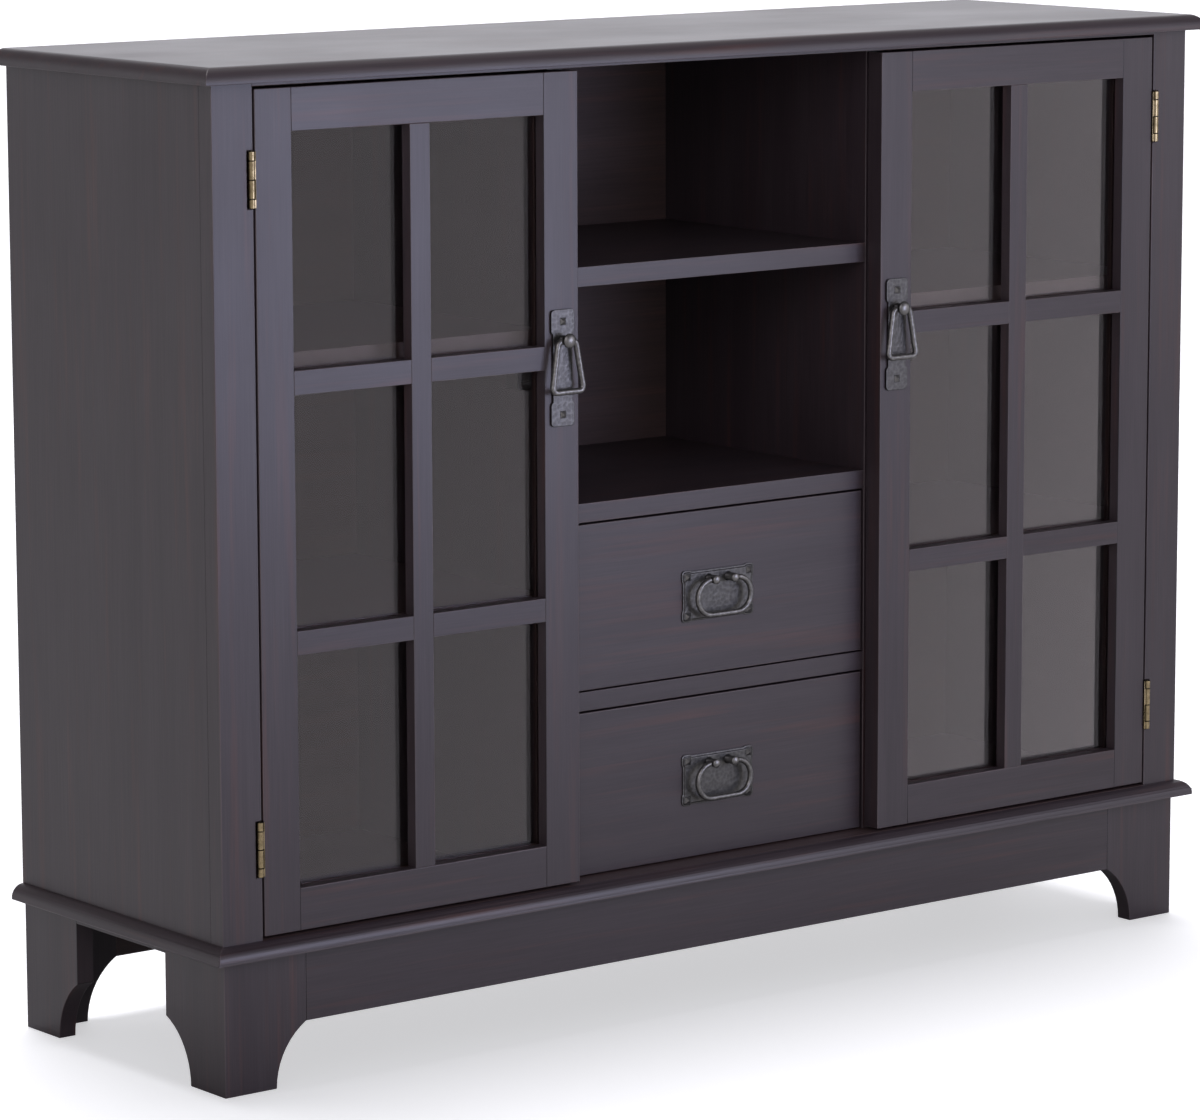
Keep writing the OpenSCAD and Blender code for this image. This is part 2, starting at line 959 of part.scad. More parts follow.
module lower_drawer_pull_ring() {
    color(iron) place() at_lower_pull() drawer_pull_ring();
}

// ---- nodes ----------------------------------------------------------------

top_board();
top_strip();
left_side_panel();
right_side_panel();
front_posts();
partitions();
bottom_panel();
back_panel();
base_moulding();
front_apron();
back_apron();
side_rails();
bracket_feet();
centre_shelf();
drawer_deck();
drawer_divider_rail();
drawer_runners();
adjustable_shelves();
shelf_pins();
door_catches();
hinge_post_leaves();
hinge_pins();
left_door_stiles();
left_door_rails();
left_door_muntins();
left_door_glass();
left_door_glass_beads();
left_door_strike_plate();
left_door_hinge_leaves();
left_door_pull_plate();
left_door_pull_nails();
left_door_pull_post();
left_door_pull_bail();
right_door_stiles();
right_door_rails();
right_door_muntins();
right_door_glass();
right_door_glass_beads();
right_door_strike_plate();
right_door_hinge_leaves();
right_door_pull_plate();
right_door_pull_nails();
right_door_pull_post();
right_door_pull_bail();
upper_drawer_front();
upper_drawer_sides();
upper_drawer_back();
upper_drawer_bottom();
upper_drawer_pull_plate();
upper_drawer_pull_nails();
upper_drawer_pull_posts();
upper_drawer_pull_ring();
lower_drawer_front();
lower_drawer_sides();
lower_drawer_back();
lower_drawer_bottom();
lower_drawer_pull_plate();
lower_drawer_pull_nails();
lower_drawer_pull_posts();
lower_drawer_pull_ring();
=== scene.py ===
# %% [markdown]
# # A china cabinet with glass doors
# A low dresser in espresso-stained wood: two glazed doors with hammered iron pulls stand
# either side of an open bay with two drawers under it, all on a moulded plinth with bracket feet.
# The joiner's model comes in as a fixed frame. Each cell below takes one group of its parts,
# eases the edges the way sandpaper does, and gives it the finish that a real maker would.

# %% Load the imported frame
import json
import math

import bmesh
import bpy
import numpy as np
from mathutils import Matrix, Vector

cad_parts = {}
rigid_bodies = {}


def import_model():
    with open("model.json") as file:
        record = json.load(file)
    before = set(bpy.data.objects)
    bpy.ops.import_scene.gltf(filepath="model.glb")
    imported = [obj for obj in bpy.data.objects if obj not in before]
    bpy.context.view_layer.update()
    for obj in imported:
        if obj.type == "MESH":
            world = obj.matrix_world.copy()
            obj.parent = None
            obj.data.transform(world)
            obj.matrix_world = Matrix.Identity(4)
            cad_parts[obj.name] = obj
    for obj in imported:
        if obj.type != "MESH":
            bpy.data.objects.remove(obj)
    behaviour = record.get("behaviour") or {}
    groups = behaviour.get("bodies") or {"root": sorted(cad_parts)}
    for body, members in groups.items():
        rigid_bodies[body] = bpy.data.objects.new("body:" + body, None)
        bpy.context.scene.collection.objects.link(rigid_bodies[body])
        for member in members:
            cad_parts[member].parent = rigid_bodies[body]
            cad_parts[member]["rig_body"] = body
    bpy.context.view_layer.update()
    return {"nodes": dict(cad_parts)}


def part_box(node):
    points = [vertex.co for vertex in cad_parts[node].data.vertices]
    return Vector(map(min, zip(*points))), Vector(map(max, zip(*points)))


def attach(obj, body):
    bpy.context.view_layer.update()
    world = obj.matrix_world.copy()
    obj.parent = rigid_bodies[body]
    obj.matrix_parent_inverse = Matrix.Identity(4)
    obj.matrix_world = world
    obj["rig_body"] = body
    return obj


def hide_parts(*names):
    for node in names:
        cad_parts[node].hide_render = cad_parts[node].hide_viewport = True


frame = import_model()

MM = 0.001
scene = bpy.context.scene

# %% [markdown]
# ## Camera
# A product shot is taken with a long lens from a good distance, so that the uprights stay
# nearly parallel. The camera is placed by the angle it looks from, as a photographer would
# say it: so many degrees round, so many degrees up, and so far away from a point it aims at.

# %% Camera
AROUND = -38.07
ABOVE = 9.33
TILT = -0.15
DISTANCE = 5.0
LENS = 158.6
AIM = Vector((-0.102, -0.086, 0.429))


def from_the_lens(around, above):
    """The direction from the object to a camera that stands so many degrees round and up."""
    a, e = math.radians(around), math.radians(above)
    return Vector((math.sin(a) * math.cos(e), -math.cos(a) * math.cos(e), math.sin(e)))


camera = bpy.data.objects.new("camera", bpy.data.cameras.new("camera"))
scene.collection.objects.link(camera)
camera.data.lens = LENS
camera.data.clip_end = 200
back = from_the_lens(AROUND, ABOVE)
turn = (-back).to_track_quat("-Z", "Y") @ Matrix.Rotation(math.radians(TILT), 3, "Z").to_quaternion()
camera.location = AIM + back * DISTANCE
camera.rotation_euler = turn.to_euler()
scene.camera = camera
print("camera at", [round(v, 3) for v in camera.location])

# %% [markdown]
# ## Studio
# Dark lacquer has little colour of its own, so what the eye reads as its sheen is the white
# room around it. The room here is a world that is white near the horizon, like walls, and dim
# overhead, so that panes and fronts mirror a pale wall and the top doesn't glow. Four soft
# boxes then decide which faces are brighter: two large ones in front, a small near one for the
# upper left of the front, and a wide one behind that only the top board mirrors. A very soft
# sun stands for the ceiling light. Some lamps are kept off some things by light linking, which
# does in Blender what a photographer does with black flags.

# %% A small helper for nodes, and one for colours


def add(tree, kind, inputs=None, **settings):
    """Adds one node. settings are its own properties; inputs are values, or sockets to link."""
    node = tree.nodes.new(kind)
    for name, value in settings.items():
        setattr(node, name, value)
    for key, value in (inputs or {}).items():
        if isinstance(value, bpy.types.NodeSocket):
            tree.links.new(value, node.inputs[key])
        else:
            node.inputs[key].default_value = value
    return node


def linear(code):
    """An sRGB hex colour as the linear RGBA that shaders work in."""
    parts = [int(code[i : i + 2], 16) / 255 for i in (1, 3, 5)]
    return [p / 12.92 if p <= 0.04045 else ((p + 0.055) / 1.055) ** 2.4 for p in parts] + [1.0]


# %% Surround
WALL_LIGHT = 0.93
CEILING_LIGHT = 0.2
world = bpy.data.worlds.new("studio")
world.use_nodes = True
sky = world.node_tree.nodes["Background"]
sky.inputs["Color"].default_value = linear("#f6f6fd")
# White walls near the horizon, and a dim ceiling above them: Z is the sine of the height angle.
direction = add(world.node_tree, "ShaderNodeTexCoord").outputs["Generated"]
up = add(world.node_tree, "ShaderNodeSeparateXYZ", {0: direction}).outputs["Z"]
fade = {"Value": up, "From Min": 0.16, "From Max": 0.42, "To Min": WALL_LIGHT, "To Max": CEILING_LIGHT}
fade = add(world.node_tree, "ShaderNodeMapRange", fade, interpolation_type="SMOOTHSTEP")
world.node_tree.links.new(fade.outputs["Result"], sky.inputs["Strength"])
scene.world = world
scene.view_settings.view_transform = "Standard"
print("surround: walls", WALL_LIGHT, "and ceiling", CEILING_LIGHT)

# %% Soft boxes and the ceiling light


def soft_box(name, place, size, watts, tint, target=(0, 0, 0.45)):
    """A square lamp at a place, turned towards the cabinet."""
    lamp = bpy.data.objects.new(name, bpy.data.lights.new(name, "AREA"))
    lamp.data.size = size
    lamp.data.energy = watts
    lamp.data.color = linear(tint)[:3]
    lamp.location = place
    lamp.rotation_euler = (Vector(target) - Vector(place)).to_track_quat("-Z", "Y").to_euler()
    lamp.visible_camera = False
    scene.collection.objects.link(lamp)
    return lamp


key = soft_box("key_box", (-2.6, -3.0, 2.4), 2.0, 50, "#f6f2ff")
# To the right of the camera, low enough to be mirrored by satin fronts but not by the panes.
fill = soft_box("fill_box", (2.4, -3.1, 1.8), 2.4, 28, "#f1efff", target=(0, -0.16, 0.5))
# Small and near, so that only the upper left of the front mirrors it.
sheen = soft_box("sheen_box", (0.6, -1.75, 0.66), 0.78, 11, "#cfd6ff", target=(-0.5, -0.16, 0.78))
# A wide panel behind, low down, which only the top board mirrors.
soft_box("back_box", (2.4, 3.2, 1.7), 3.4, 34, "#f8f8ff", target=(0, 0, 0.9))

# The ceiling of the studio: very soft light from above and a little behind, the same all over
# the floor, so that the floor stays white and the cabinet's shadow falls forward.
ceiling = bpy.data.objects.new("ceiling_light", bpy.data.lights.new("ceiling_light", "SUN"))
ceiling.data.energy = 2.2
ceiling.data.angle = math.radians(28)
ceiling.data.color = linear("#fdfcff")[:3]
ceiling.rotation_euler = Vector((0.1, 0.2, 1.0)).to_track_quat("Z", "Y").to_euler()
scene.collection.objects.link(ceiling)

# %% Floor
FLOOR_HALF = 60
FLOOR_LEVEL = -0.2 * MM
FLOOR_GLOW = 0.56
floor_mesh = bpy.data.meshes.new("floor")
floor_mesh.from_pydata(
    [(x * FLOOR_HALF, y * FLOOR_HALF, FLOOR_LEVEL) for x, y in ((-1, -1), (1, -1), (1, 1), (-1, 1))],
    [],
    [(0, 1, 2, 3)],
)
floor = bpy.data.objects.new("floor", floor_mesh)
scene.collection.objects.link(floor)
# A lit sweep: white paint that is also lamp-lit from below, so that shadows on it stay light.
sweep = bpy.data.materials.new("lit_white_sweep")
sweep.use_nodes = True
paint = sweep.node_tree.nodes["Principled BSDF"]
paint.inputs["Base Color"].default_value = linear("#e2e2e5")
paint.inputs["Roughness"].default_value = 0.8
paint.inputs["Emission Color"].default_value = linear("#fdfdff")
paint.inputs["Emission Strength"].default_value = FLOOR_GLOW
# Only the floor itself and the panes see this glow. It would lighten the woodwork from below.
glow_seen_by = bpy.data.collections.new("glow_seen_by")
for seen in (floor, frame["nodes"]["left_door_glass"], frame["nodes"]["right_door_glass"]):
    glow_seen_by.objects.link(seen)
floor.light_linking.receiver_collection = glow_seen_by
floor_mesh.materials.append(sweep)

# %% [markdown]
# ## Espresso lacquer on wood
# The cabinet is stained nearly black-brown and sprayed with a satin lacquer. Close up it is
# not one colour: broad bands of figure, fine fibre streaks along the board, a few redder veins
# where the stain took less, and paler lines where an edge was rubbed. Every board carries an
# attribute called grain, whose first number runs along its own length, so a single material
# turns with each board. The figure is stretched far more along that number than across it.

# %% Material for stained and lacquered wood
GLOSS_RANGE = 0.03
FIBRE_DARK = "#141011"
JOINT_DARK = "#080606"
VEIN_SHARE = 0.55
FIBRE_SHARE = 0.42


def lacquered_wood(name, body, band, vein, rubbed, satin, wear, relief):
    """Stained wood under lacquer. satin is its roughness, wear how much edges pale, relief in m."""
    material = bpy.data.materials.new(name)
    material.use_nodes = True
    tree = material.node_tree
    shader = tree.nodes["Principled BSDF"]
    grain = add(tree, "ShaderNodeAttribute", attribute_name="grain").outputs["Vector"]
    worn = add(tree, "ShaderNodeAttribute", attribute_name="worn").outputs["Fac"]

    def pattern(along, across, detail, low, high):
        """Noise with features so many millimetres long and wide, spread out between two levels."""
        scale = (1 / (along * MM), 1 / (across * MM), 1 / (across * MM))
        place = add(tree, "ShaderNodeMapping", {"Vector": grain, "Scale": scale}).outputs[0]
        wave = {"Vector": place, "Scale": 1.0, "Detail": detail, "Roughness": 0.55}
        noise = add(tree, "ShaderNodeTexNoise", wave)
        spread = {"Value": noise.outputs["Fac"], "From Min": low, "From Max": high}
        return add(tree, "ShaderNodeMapRange", spread).outputs["Result"]

    def blended(share, first, second):
        """Two colours mixed by a share."""
        return add(tree, "ShaderNodeMix", {0: share, 6: first, 7: second}, data_type="RGBA").outputs[2]

    figure = pattern(420, 26, 3.0, 0.20, 0.80)
    # Real fibres are a few tenths of a millimetre; these are drawn at 1.6 mm so that they show.
    fibre = pattern(70, 1.6, 2.0, 0.25, 0.80)
    veins = pattern(260, 9, 2.0, 0.56, 0.74)
    handling = pattern(160, 120, 4.0, 0.30, 0.75)
    stained = blended(figure, linear(body), linear(band))
    red_share = add(tree, "ShaderNodeMath", {0: veins, 1: VEIN_SHARE}, operation="MULTIPLY").outputs[0]
    veined = blended(red_share, stained, linear(vein))
    dark_share = add(tree, "ShaderNodeMath", {0: fibre, 1: FIBRE_SHARE}, operation="MULTIPLY").outputs[0]
    streaked = blended(dark_share, veined, linear(FIBRE_DARK))
    arris = add(tree, "ShaderNodeMath", {0: worn, 1: 0.0}, operation="MAXIMUM").outputs[0]
    edge_share = add(tree, "ShaderNodeMath", {0: arris, 1: handling}, operation="MULTIPLY").outputs[0]
    edge_part = add(tree, "ShaderNodeMath", {0: edge_share, 1: wear}, operation="MULTIPLY").outputs[0]
    rubbed_back = blended(edge_part, streaked, linear(rubbed))
    # Worn is -1 in a joint, so its opposite, clamped at nothing, is the share of shadow there.
    joint = add(tree, "ShaderNodeMath", {0: worn, 1: -1.0}, operation="MULTIPLY", use_clamp=True)
    tree.links.new(blended(joint.outputs[0], rubbed_back, linear(JOINT_DARK)), shader.inputs["Base Color"])
    gloss = {"Value": handling, "To Min": satin - GLOSS_RANGE, "To Max": satin + GLOSS_RANGE}
    tree.links.new(add(tree, "ShaderNodeMapRange", gloss).outputs["Result"], shader.inputs["Roughness"])
    ridge = add(tree, "ShaderNodeBump", {"Height": fibre, "Strength": 0.6, "Distance": relief})
    tree.links.new(ridge.outputs["Normal"], shader.inputs["Normal"])
    return material


# Espresso stain under satin lacquer: near black-brown with a cool sheen, redder where thin.
espresso = lacquered_wood(
    "espresso_stained_wood", "#393033", "#2e2428", "#4c302c", "#6d6160", 0.41, 0.5, 0.00006
)
# Inside, one thin coat: browner, flatter, and less worn.
inner_coat = lacquered_wood(
    "thin_coat_inner_wood", "#4c3b39", "#3f2f2d", "#5a3f38", "#6a5048", 0.5, 0.4, 0.00008
)
print("wood finishes:", espresso.name, inner_coat.name)

# %% [markdown]
# ## From a CAD solid to a board
# A solid from the drawing has knife edges, and no real board does. Each one is copied, its loose
# triangles are welded back into whole faces, and its outside edges are bevelled by about a
# millimetre, which gives light something to catch. Where two boards meet flush, the bevel is
# only a hair, so that the joint shows as a thin dark line and not as a groove.

# %% Weld, find boards, and ease edges
WELD = 0.002 * MM
FLAT = math.radians(0.4)
SHARP = math.radians(35)
SHORTEST = 0.7 * MM
IN_LINE = 0.05 * MM
HAIR = 0.55 * MM
SMALL = 0.5 * MM
ARRIS = 0.8 * MM


def welded(node):
    """A copy of a CAD node with shared corners and whole flat faces."""
    bm = bmesh.new()
    bm.from_mesh(frame["nodes"][node].data)
    bmesh.ops.remove_doubles(bm, verts=bm.verts, dist=WELD)
    bmesh.ops.dissolve_limit(bm, angle_limit=FLAT, verts=bm.verts, edges=bm.edges)
    return bm


def lowest_corner(faces):
    """The low corner of the box around some faces, to a hundredth of a millimetre."""
    return [round(min(v.co[axis] for f in faces for v in f.verts), 5) for axis in range(3)]


def islands(bm):
    """The separate solids in a mesh, each as a list of faces, in order from left to right."""
    left, found = set(bm.faces), []
    while left:
        first = min(left, key=lambda f: f.index)
        group, front = {first}, [first]
        while front:
            for edge in front.pop().edges:
                for face in edge.link_faces:
                    if face not in group:
                        group.add(face)
                        front.append(face)
        left -= group
        found.append(sorted(group, key=lambda f: f.index))
    return sorted(found, key=lowest_corner)


def ease(bm, arris, seams=()):
    """Bevels the outside edges, and only by a hair those in a seam, given as (axis, place)."""

    def in_seam(edge):
        """Whether an edge lies in one of the seams."""
        return any(
            all(abs(v.co[axis] - place) < IN_LINE for v in edge.verts) for axis, place in seams
        )

    made = {}
    for mark, size, wanted in ((-1.0, HAIR, True), (1.0, arris, False)):
        edges = [
            e
            for e in bm.edges
            if e.is_manifold
            and e.is_convex
            and e.calc_face_angle() > SHARP
            and e.calc_length() > SHORTEST
            and in_seam(e) == wanted
            and not any(f in made for f in e.link_faces)
        ]
        cut = bmesh.ops.bevel(
            bm, geom=edges, offset=size, segments=2, profile=0.5, affect="EDGES", clamp_overlap=False
        )
        made = {f: m for f, m in made.items() if f.is_valid} | {f: mark for f in cut["faces"]}
    return made


print("edges are eased by", ARRIS / MM, "mm, and by", HAIR / MM, "mm in a joint")

# %% [markdown]
# ## Grain that follows each board
# A texture needs to know which way a board was sawn. Each separate solid is measured, and its
# corners get coordinates whose first number runs along the longest side, with a different
# start for every board, so that no two show the same figure. Bevelled faces get a second
# number that says whether they are a worn edge or a joint.

# %% Grain, and a board from a node


def note_grain(bm, worn, seed):
    """Writes on the face corners each board's grain coordinates, and 1 on an edge or -1 in a joint."""
    grain = bm.loops.layers.float_vector.new("grain")
    rub_and_shade = bm.loops.layers.float.new("worn")
    draw = np.random.default_rng(seed)
    for board in islands(bm):
        corners = np.array([v.co for f in board for v in f.verts])
        order = np.argsort(np.ptp(corners, axis=0))[::-1]
        shift = draw.uniform(0, 20, 3)
        for face in board:
            for loop in face.loops:
                loop[grain] = Vector([loop.vert.co[int(a)] + s for a, s in zip(order, shift)])
                loop[rub_and_shade] = worn.get(face, 0.0)


def finished(name, mesh, material, body, replaced=()):
    """Puts a mesh in the scene as a piece that rides on a body and stands for CAD nodes."""
    mesh.name = name
    mesh.materials.clear()
    mesh.materials.append(material)
    piece = bpy.data.objects.new(name, mesh)
    scene.collection.objects.link(piece)
    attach(piece, body)
    if replaced:
        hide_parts(*replaced)
    return piece


def smooth_where_round(mesh, limit=40):
    """Smooth shading, kept crisp at edges sharper than the limit in degrees."""
    mesh.shade_smooth()
    mesh.set_sharp_from_angle(angle=math.radians(limit))


FLAT_FACE_WEIGHT = 80


def even_normals(piece):
    """Lets the large flat faces decide the shading, so that a bevel doesn't tint them."""
    even = piece.modifiers.new("even_normals", "WEIGHTED_NORMAL")
    even.keep_sharp = True
    even.weight = FLAT_FACE_WEIGHT


def board(node, material, slot, seed, arris=ARRIS, seams=(), cut=None):
    """One CAD node as finished boards."""
    bm = welded(node)
    if cut:
        bm = cut(bm)
    bm.faces.index_update()
    worn = ease(bm, arris, seams)
    bm.faces.index_update()
    note_grain(bm, worn, seed)
    mesh = bpy.data.meshes.new(node)
    bm.to_mesh(mesh)
    bm.free()
    smooth_where_round(mesh, 65)
    piece = finished(node + "_board", mesh, material, frame["nodes"][node]["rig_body"], [node])
    even_normals(piece)
    return piece


# %% [markdown]
# ## Case, shelves and plinth
# The joints worth seeing are those of the face frame: posts against the top strip, bracket feet
# against the aprons, and the plinth moulding, whose three lengths are mitred at the front
# corners. The moulding's solid is one piece, so it is cut along its mitres here, and each
# length gets grain that runs with it.

# %% Mitre the plinth moulding


def capped_half(bm, place, normal):
    """Keeps the part of a mesh on one side of a plane, and closes the cut."""
    half = bm.copy()
    made = bmesh.ops.bisect_plane(
        half,
        geom=half.verts[:] + half.edges[:] + half.faces[:],
        plane_co=place,
        plane_no=normal,
        clear_outer=True,
    )
    edges = [e for e in made["geom_cut"] if isinstance(e, bmesh.types.BMEdge)]
    bmesh.ops.holes_fill(half, edges=edges)
    return half


def mitred(bm):
    """The U of moulding as three lengths that meet at 45 degrees."""
    lo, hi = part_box("base_moulding")
    left, right = Vector((lo.x, lo.y, 0)), Vector((hi.x, lo.y, 0))
    front = capped_half(bm, left, (-1, 1, 0))
    front = capped_half(front, right, (1, 1, 0))
    lengths = [front, capped_half(bm, left, (1, -1, 0)), capped_half(bm, right, (-1, -1, 0))]
    joined = bmesh.new()
    for part in lengths:
        mesh = bpy.data.meshes.new("length")
        part.to_mesh(mesh)
        joined.from_mesh(mesh)
        bpy.data.meshes.remove(mesh)
        part.free()
    bm.free()
    return joined


# %% Case boards
post_lo, post_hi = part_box("front_posts")
apron_lo, apron_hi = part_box("front_apron")
rail_lo, rail_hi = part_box("side_rails")
foot_seams = [(0, apron_lo.x), (0, apron_hi.x), (1, rail_lo.y), (1, rail_hi.y)]

case = {
    "top_board": dict(arris=SMALL),
    "top_strip": dict(arris=HAIR),
    "left_side_panel": dict(arris=SMALL, seams=[(1, post_hi.y)]),
    "right_side_panel": dict(arris=SMALL, seams=[(1, post_hi.y)]),
    "front_posts": dict(arris=ARRIS, seams=[(1, post_hi.y), (2, post_hi.z)]),
    "partitions": dict(arris=SMALL),
    "base_moulding": dict(arris=HAIR * 2, cut=mitred),
    "front_apron": dict(arris=SMALL, seams=[(0, apron_lo.x), (0, apron_hi.x)]),
    "side_rails": dict(arris=SMALL, seams=[(1, rail_lo.y), (1, rail_hi.y)]),
    "bracket_feet": dict(arris=ARRIS, seams=foot_seams),
    "centre_shelf": dict(arris=SMALL),
    "drawer_deck": dict(arris=SMALL),
    "drawer_divider_rail": dict(arris=SMALL),
}
for seed, (node, how) in enumerate(case.items()):
    board(node, espresso, "stained_wood", 100 + seed, **how)

inside = ["bottom_panel", "back_panel", "back_apron", "drawer_runners", "adjustable_shelves"]
for seed, node in enumerate(inside):
    board(node, inner_coat, "inner_wood", 200 + seed, arris=SMALL)
print("case:", len(case) + len(inside), "nodes as boards")

# %% [markdown]
# ## Doors and drawers
# A door is a frame of two stiles and two rails. The rails butt between the stiles, so the
# joint is a thin line down the inner edge of each stile, and that line is the seam. Glazing
# bars cross in front of a single pane. Drawer fronts are plain boards with their grain across.

# %% Door frames, glazing bars, beads and drawer boxes
for side in ("left", "right"):
    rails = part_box(side + "_door_rails")
    stile_lines = [(0, rails[0].x), (0, rails[1].x)]
    seed = 300 if side == "left" else 350
    board(side + "_door_stiles", espresso, "stained_wood", seed, seams=stile_lines)
    board(side + "_door_rails", espresso, "stained_wood", seed + 1, seams=stile_lines)
    board(side + "_door_muntins", espresso, "stained_wood", seed + 2, arris=SMALL)
    board(side + "_door_glass_beads", inner_coat, "inner_wood", seed + 3, arris=SMALL)

for row, level in enumerate(("upper", "lower")):
    board(level + "_drawer_front", espresso, "stained_wood", 400 + row)
    for n, part in enumerate(("sides", "back", "bottom")):
        board(f"{level}_drawer_{part}", inner_coat, "inner_wood", 410 + 10 * row + n, arris=SMALL)
print("doors and drawers done")

# %% [markdown]
# ## Glass
# Window glass is clear, with a faint green-grey in its thickness. What makes it visible is the
# pale room that it mirrors, a tenth or so of the light, laid over a dark inside. The pane from
# the drawing is the right shape already, so it keeps its mesh and only gets this material.

# %% Glass material
# Two faces mirror in turn, and this IOR gives the pair the depth of tone of the real panes.
GLASS_IOR = 1.33
glass = bpy.data.materials.new("clear_float_glass")
glass.use_nodes = True
tree = glass.node_tree
tree.nodes.remove(tree.nodes["Principled BSDF"])
places = add(tree, "ShaderNodeTexCoord").outputs["Object"]
# A wiped pane is a little hazier in patches about a hand wide.
smear = add(tree, "ShaderNodeTexNoise", {"Vector": places, "Scale": 1 / 0.09, "Detail": 3.0})
haze = {"Value": smear.outputs["Fac"], "From Min": 0.4, "From Max": 0.8, "To Min": 0.0, "To Max": 0.02}
rough = add(tree, "ShaderNodeMapRange", haze).outputs["Result"]
mirror = add(tree, "ShaderNodeBsdfGlossy", {"Color": linear("#f6f1f5"), "Roughness": rough})
through = add(tree, "ShaderNodeBsdfTransparent", {"Color": linear("#f3f0ef")})
share = add(tree, "ShaderNodeFresnel", {"IOR": GLASS_IOR}).outputs[0]
pane_face = add(tree, "ShaderNodeMixShader", {0: share, 1: through.outputs[0], 2: mirror.outputs[0]})
tree.links.new(pane_face.outputs[0], tree.nodes["Material Output"].inputs["Surface"])
for side in ("left", "right"):
    pane = frame["nodes"][side + "_door_glass"]
    pane.data.materials.clear()
    pane.data.materials.append(glass)
# The soft boxes in front are flagged off the panes, where the near one would stand as a bright
# square, and off the floor, which the low panes mirror.
flagged = bpy.data.collections.new("flagged_off")
for side in ("left", "right"):
    flagged.objects.link(frame["nodes"][side + "_door_glass"])
flagged.objects.link(floor)
for entry in flagged.collection_objects:
    entry.light_linking.link_state = "EXCLUDE"
for lamp in (key, fill, sheen):
    lamp.light_linking.receiver_collection = flagged

# %% [markdown]
# ## Hammered iron
# The pulls are cast, then peened and blackened, and the high spots between the hammer marks
# are rubbed back to bare metal. To get that in the shape and not only in the shading, each
# casting is remeshed into small even faces and pushed in around scattered points, so that
# shallow dents overlap. How high each point ends up is kept as an attribute, and the material
# is paler where it is high and nearly black in the dents. The same attribute also carries
# painted shade: it is lowered around the nail heads, down the sides of the plates and towards
# the back of the posts, so that these go nearly black as if in shadow.

# %% Iron material
iron = bpy.data.materials.new("blackened_hammered_iron")
iron.use_nodes = True
tree = iron.node_tree
shader = tree.nodes["Principled BSDF"]
rub_and_shade = add(tree, "ShaderNodeAttribute", attribute_name="rub_and_shade").outputs["Fac"]
places = add(tree, "ShaderNodeTexCoord").outputs["Object"]
# Casting grit is half a millimetre across; it is drawn at 0.9 mm so that it shows.
grit = add(tree, "ShaderNodeTexNoise", {"Vector": places, "Scale": 1 / (0.9 * MM), "Detail": 2.0})
speck = {"Value": grit.outputs["Fac"], "From Min": 0.3, "From Max": 0.75, "To Min": 0.82, "To Max": 1.0}
speckle = add(tree, "ShaderNodeMapRange", speck).outputs["Result"]
high = add(tree, "ShaderNodeMath", {0: rub_and_shade, 1: speckle}, operation="MULTIPLY").outputs[0]
# Low values, from dents or from the shade painted at plate sides, nail heads and post necks, go to the
# black coat.
black_coat, bare_metal = linear("#1d1c1d"), linear("#8d8a86")
rubbed = {0: high, 6: black_coat, 7: bare_metal}
colour = add(tree, "ShaderNodeMix", rubbed, data_type="RGBA").outputs[2]
tree.links.new(colour, shader.inputs["Base Color"])
shader.inputs["Metallic"].default_value = 0.9
dull = {"Value": high, "To Min": 0.42, "To Max": 0.3}
tree.links.new(add(tree, "ShaderNodeMapRange", dull).outputs["Result"], shader.inputs["Roughness"])
pitted = {"Height": grit.outputs["Fac"], "Strength": 0.3, "Distance": 0.1 * MM}
pits = add(tree, "ShaderNodeBump", pitted)
tree.links.new(pits.outputs["Normal"], shader.inputs["Normal"])
print("iron finish:", iron.name)

# %% [markdown]
# ## Dents from a hammer
# A hammer mark is a shallow round hollow, and where two overlap there is a ridge between them.
# Measuring how far every point of a mesh is from the nearest of many scattered marks gives
# just that: low near a mark, high halfway to the next. The marks come from one small seeded
# table that repeats, so the same script always makes the same dents.

# %% Scattered marks, and dents around them
TABLE_SIDE = 32
UNMARKED = 9.0
NEIGHBOURS = [(i, j, k) for i in (-1, 0, 1) for j in (-1, 0, 1) for k in (-1, 0, 1)]


def nearest_mark(points, cell, seed):
    """How far each point is from the nearest of many scattered marks, in cells."""
    marks = np.random.default_rng(seed).random((TABLE_SIDE,) * 3 + (3,))
    places = points / cell
    base = np.floor(places).astype(int)
    nearest = np.full(len(points), UNMARKED)
    for step in NEIGHBOURS:
        cells = base + step
        mark = cells + marks[tuple((cells % TABLE_SIDE).T)]
        nearest = np.minimum(nearest, np.linalg.norm(places - mark, axis=1))
    return nearest


def note_rub_and_shade(mesh, level):
    """Writes on each point how far it is rubbed back to bare metal, lowered where shade is painted."""
    rub_and_shade = mesh.attributes.get("rub_and_shade") or mesh.attributes.new("rub_and_shade", "FLOAT", "POINT")
    rub_and_shade.data.foreach_set("value", np.asarray(level, np.float32))


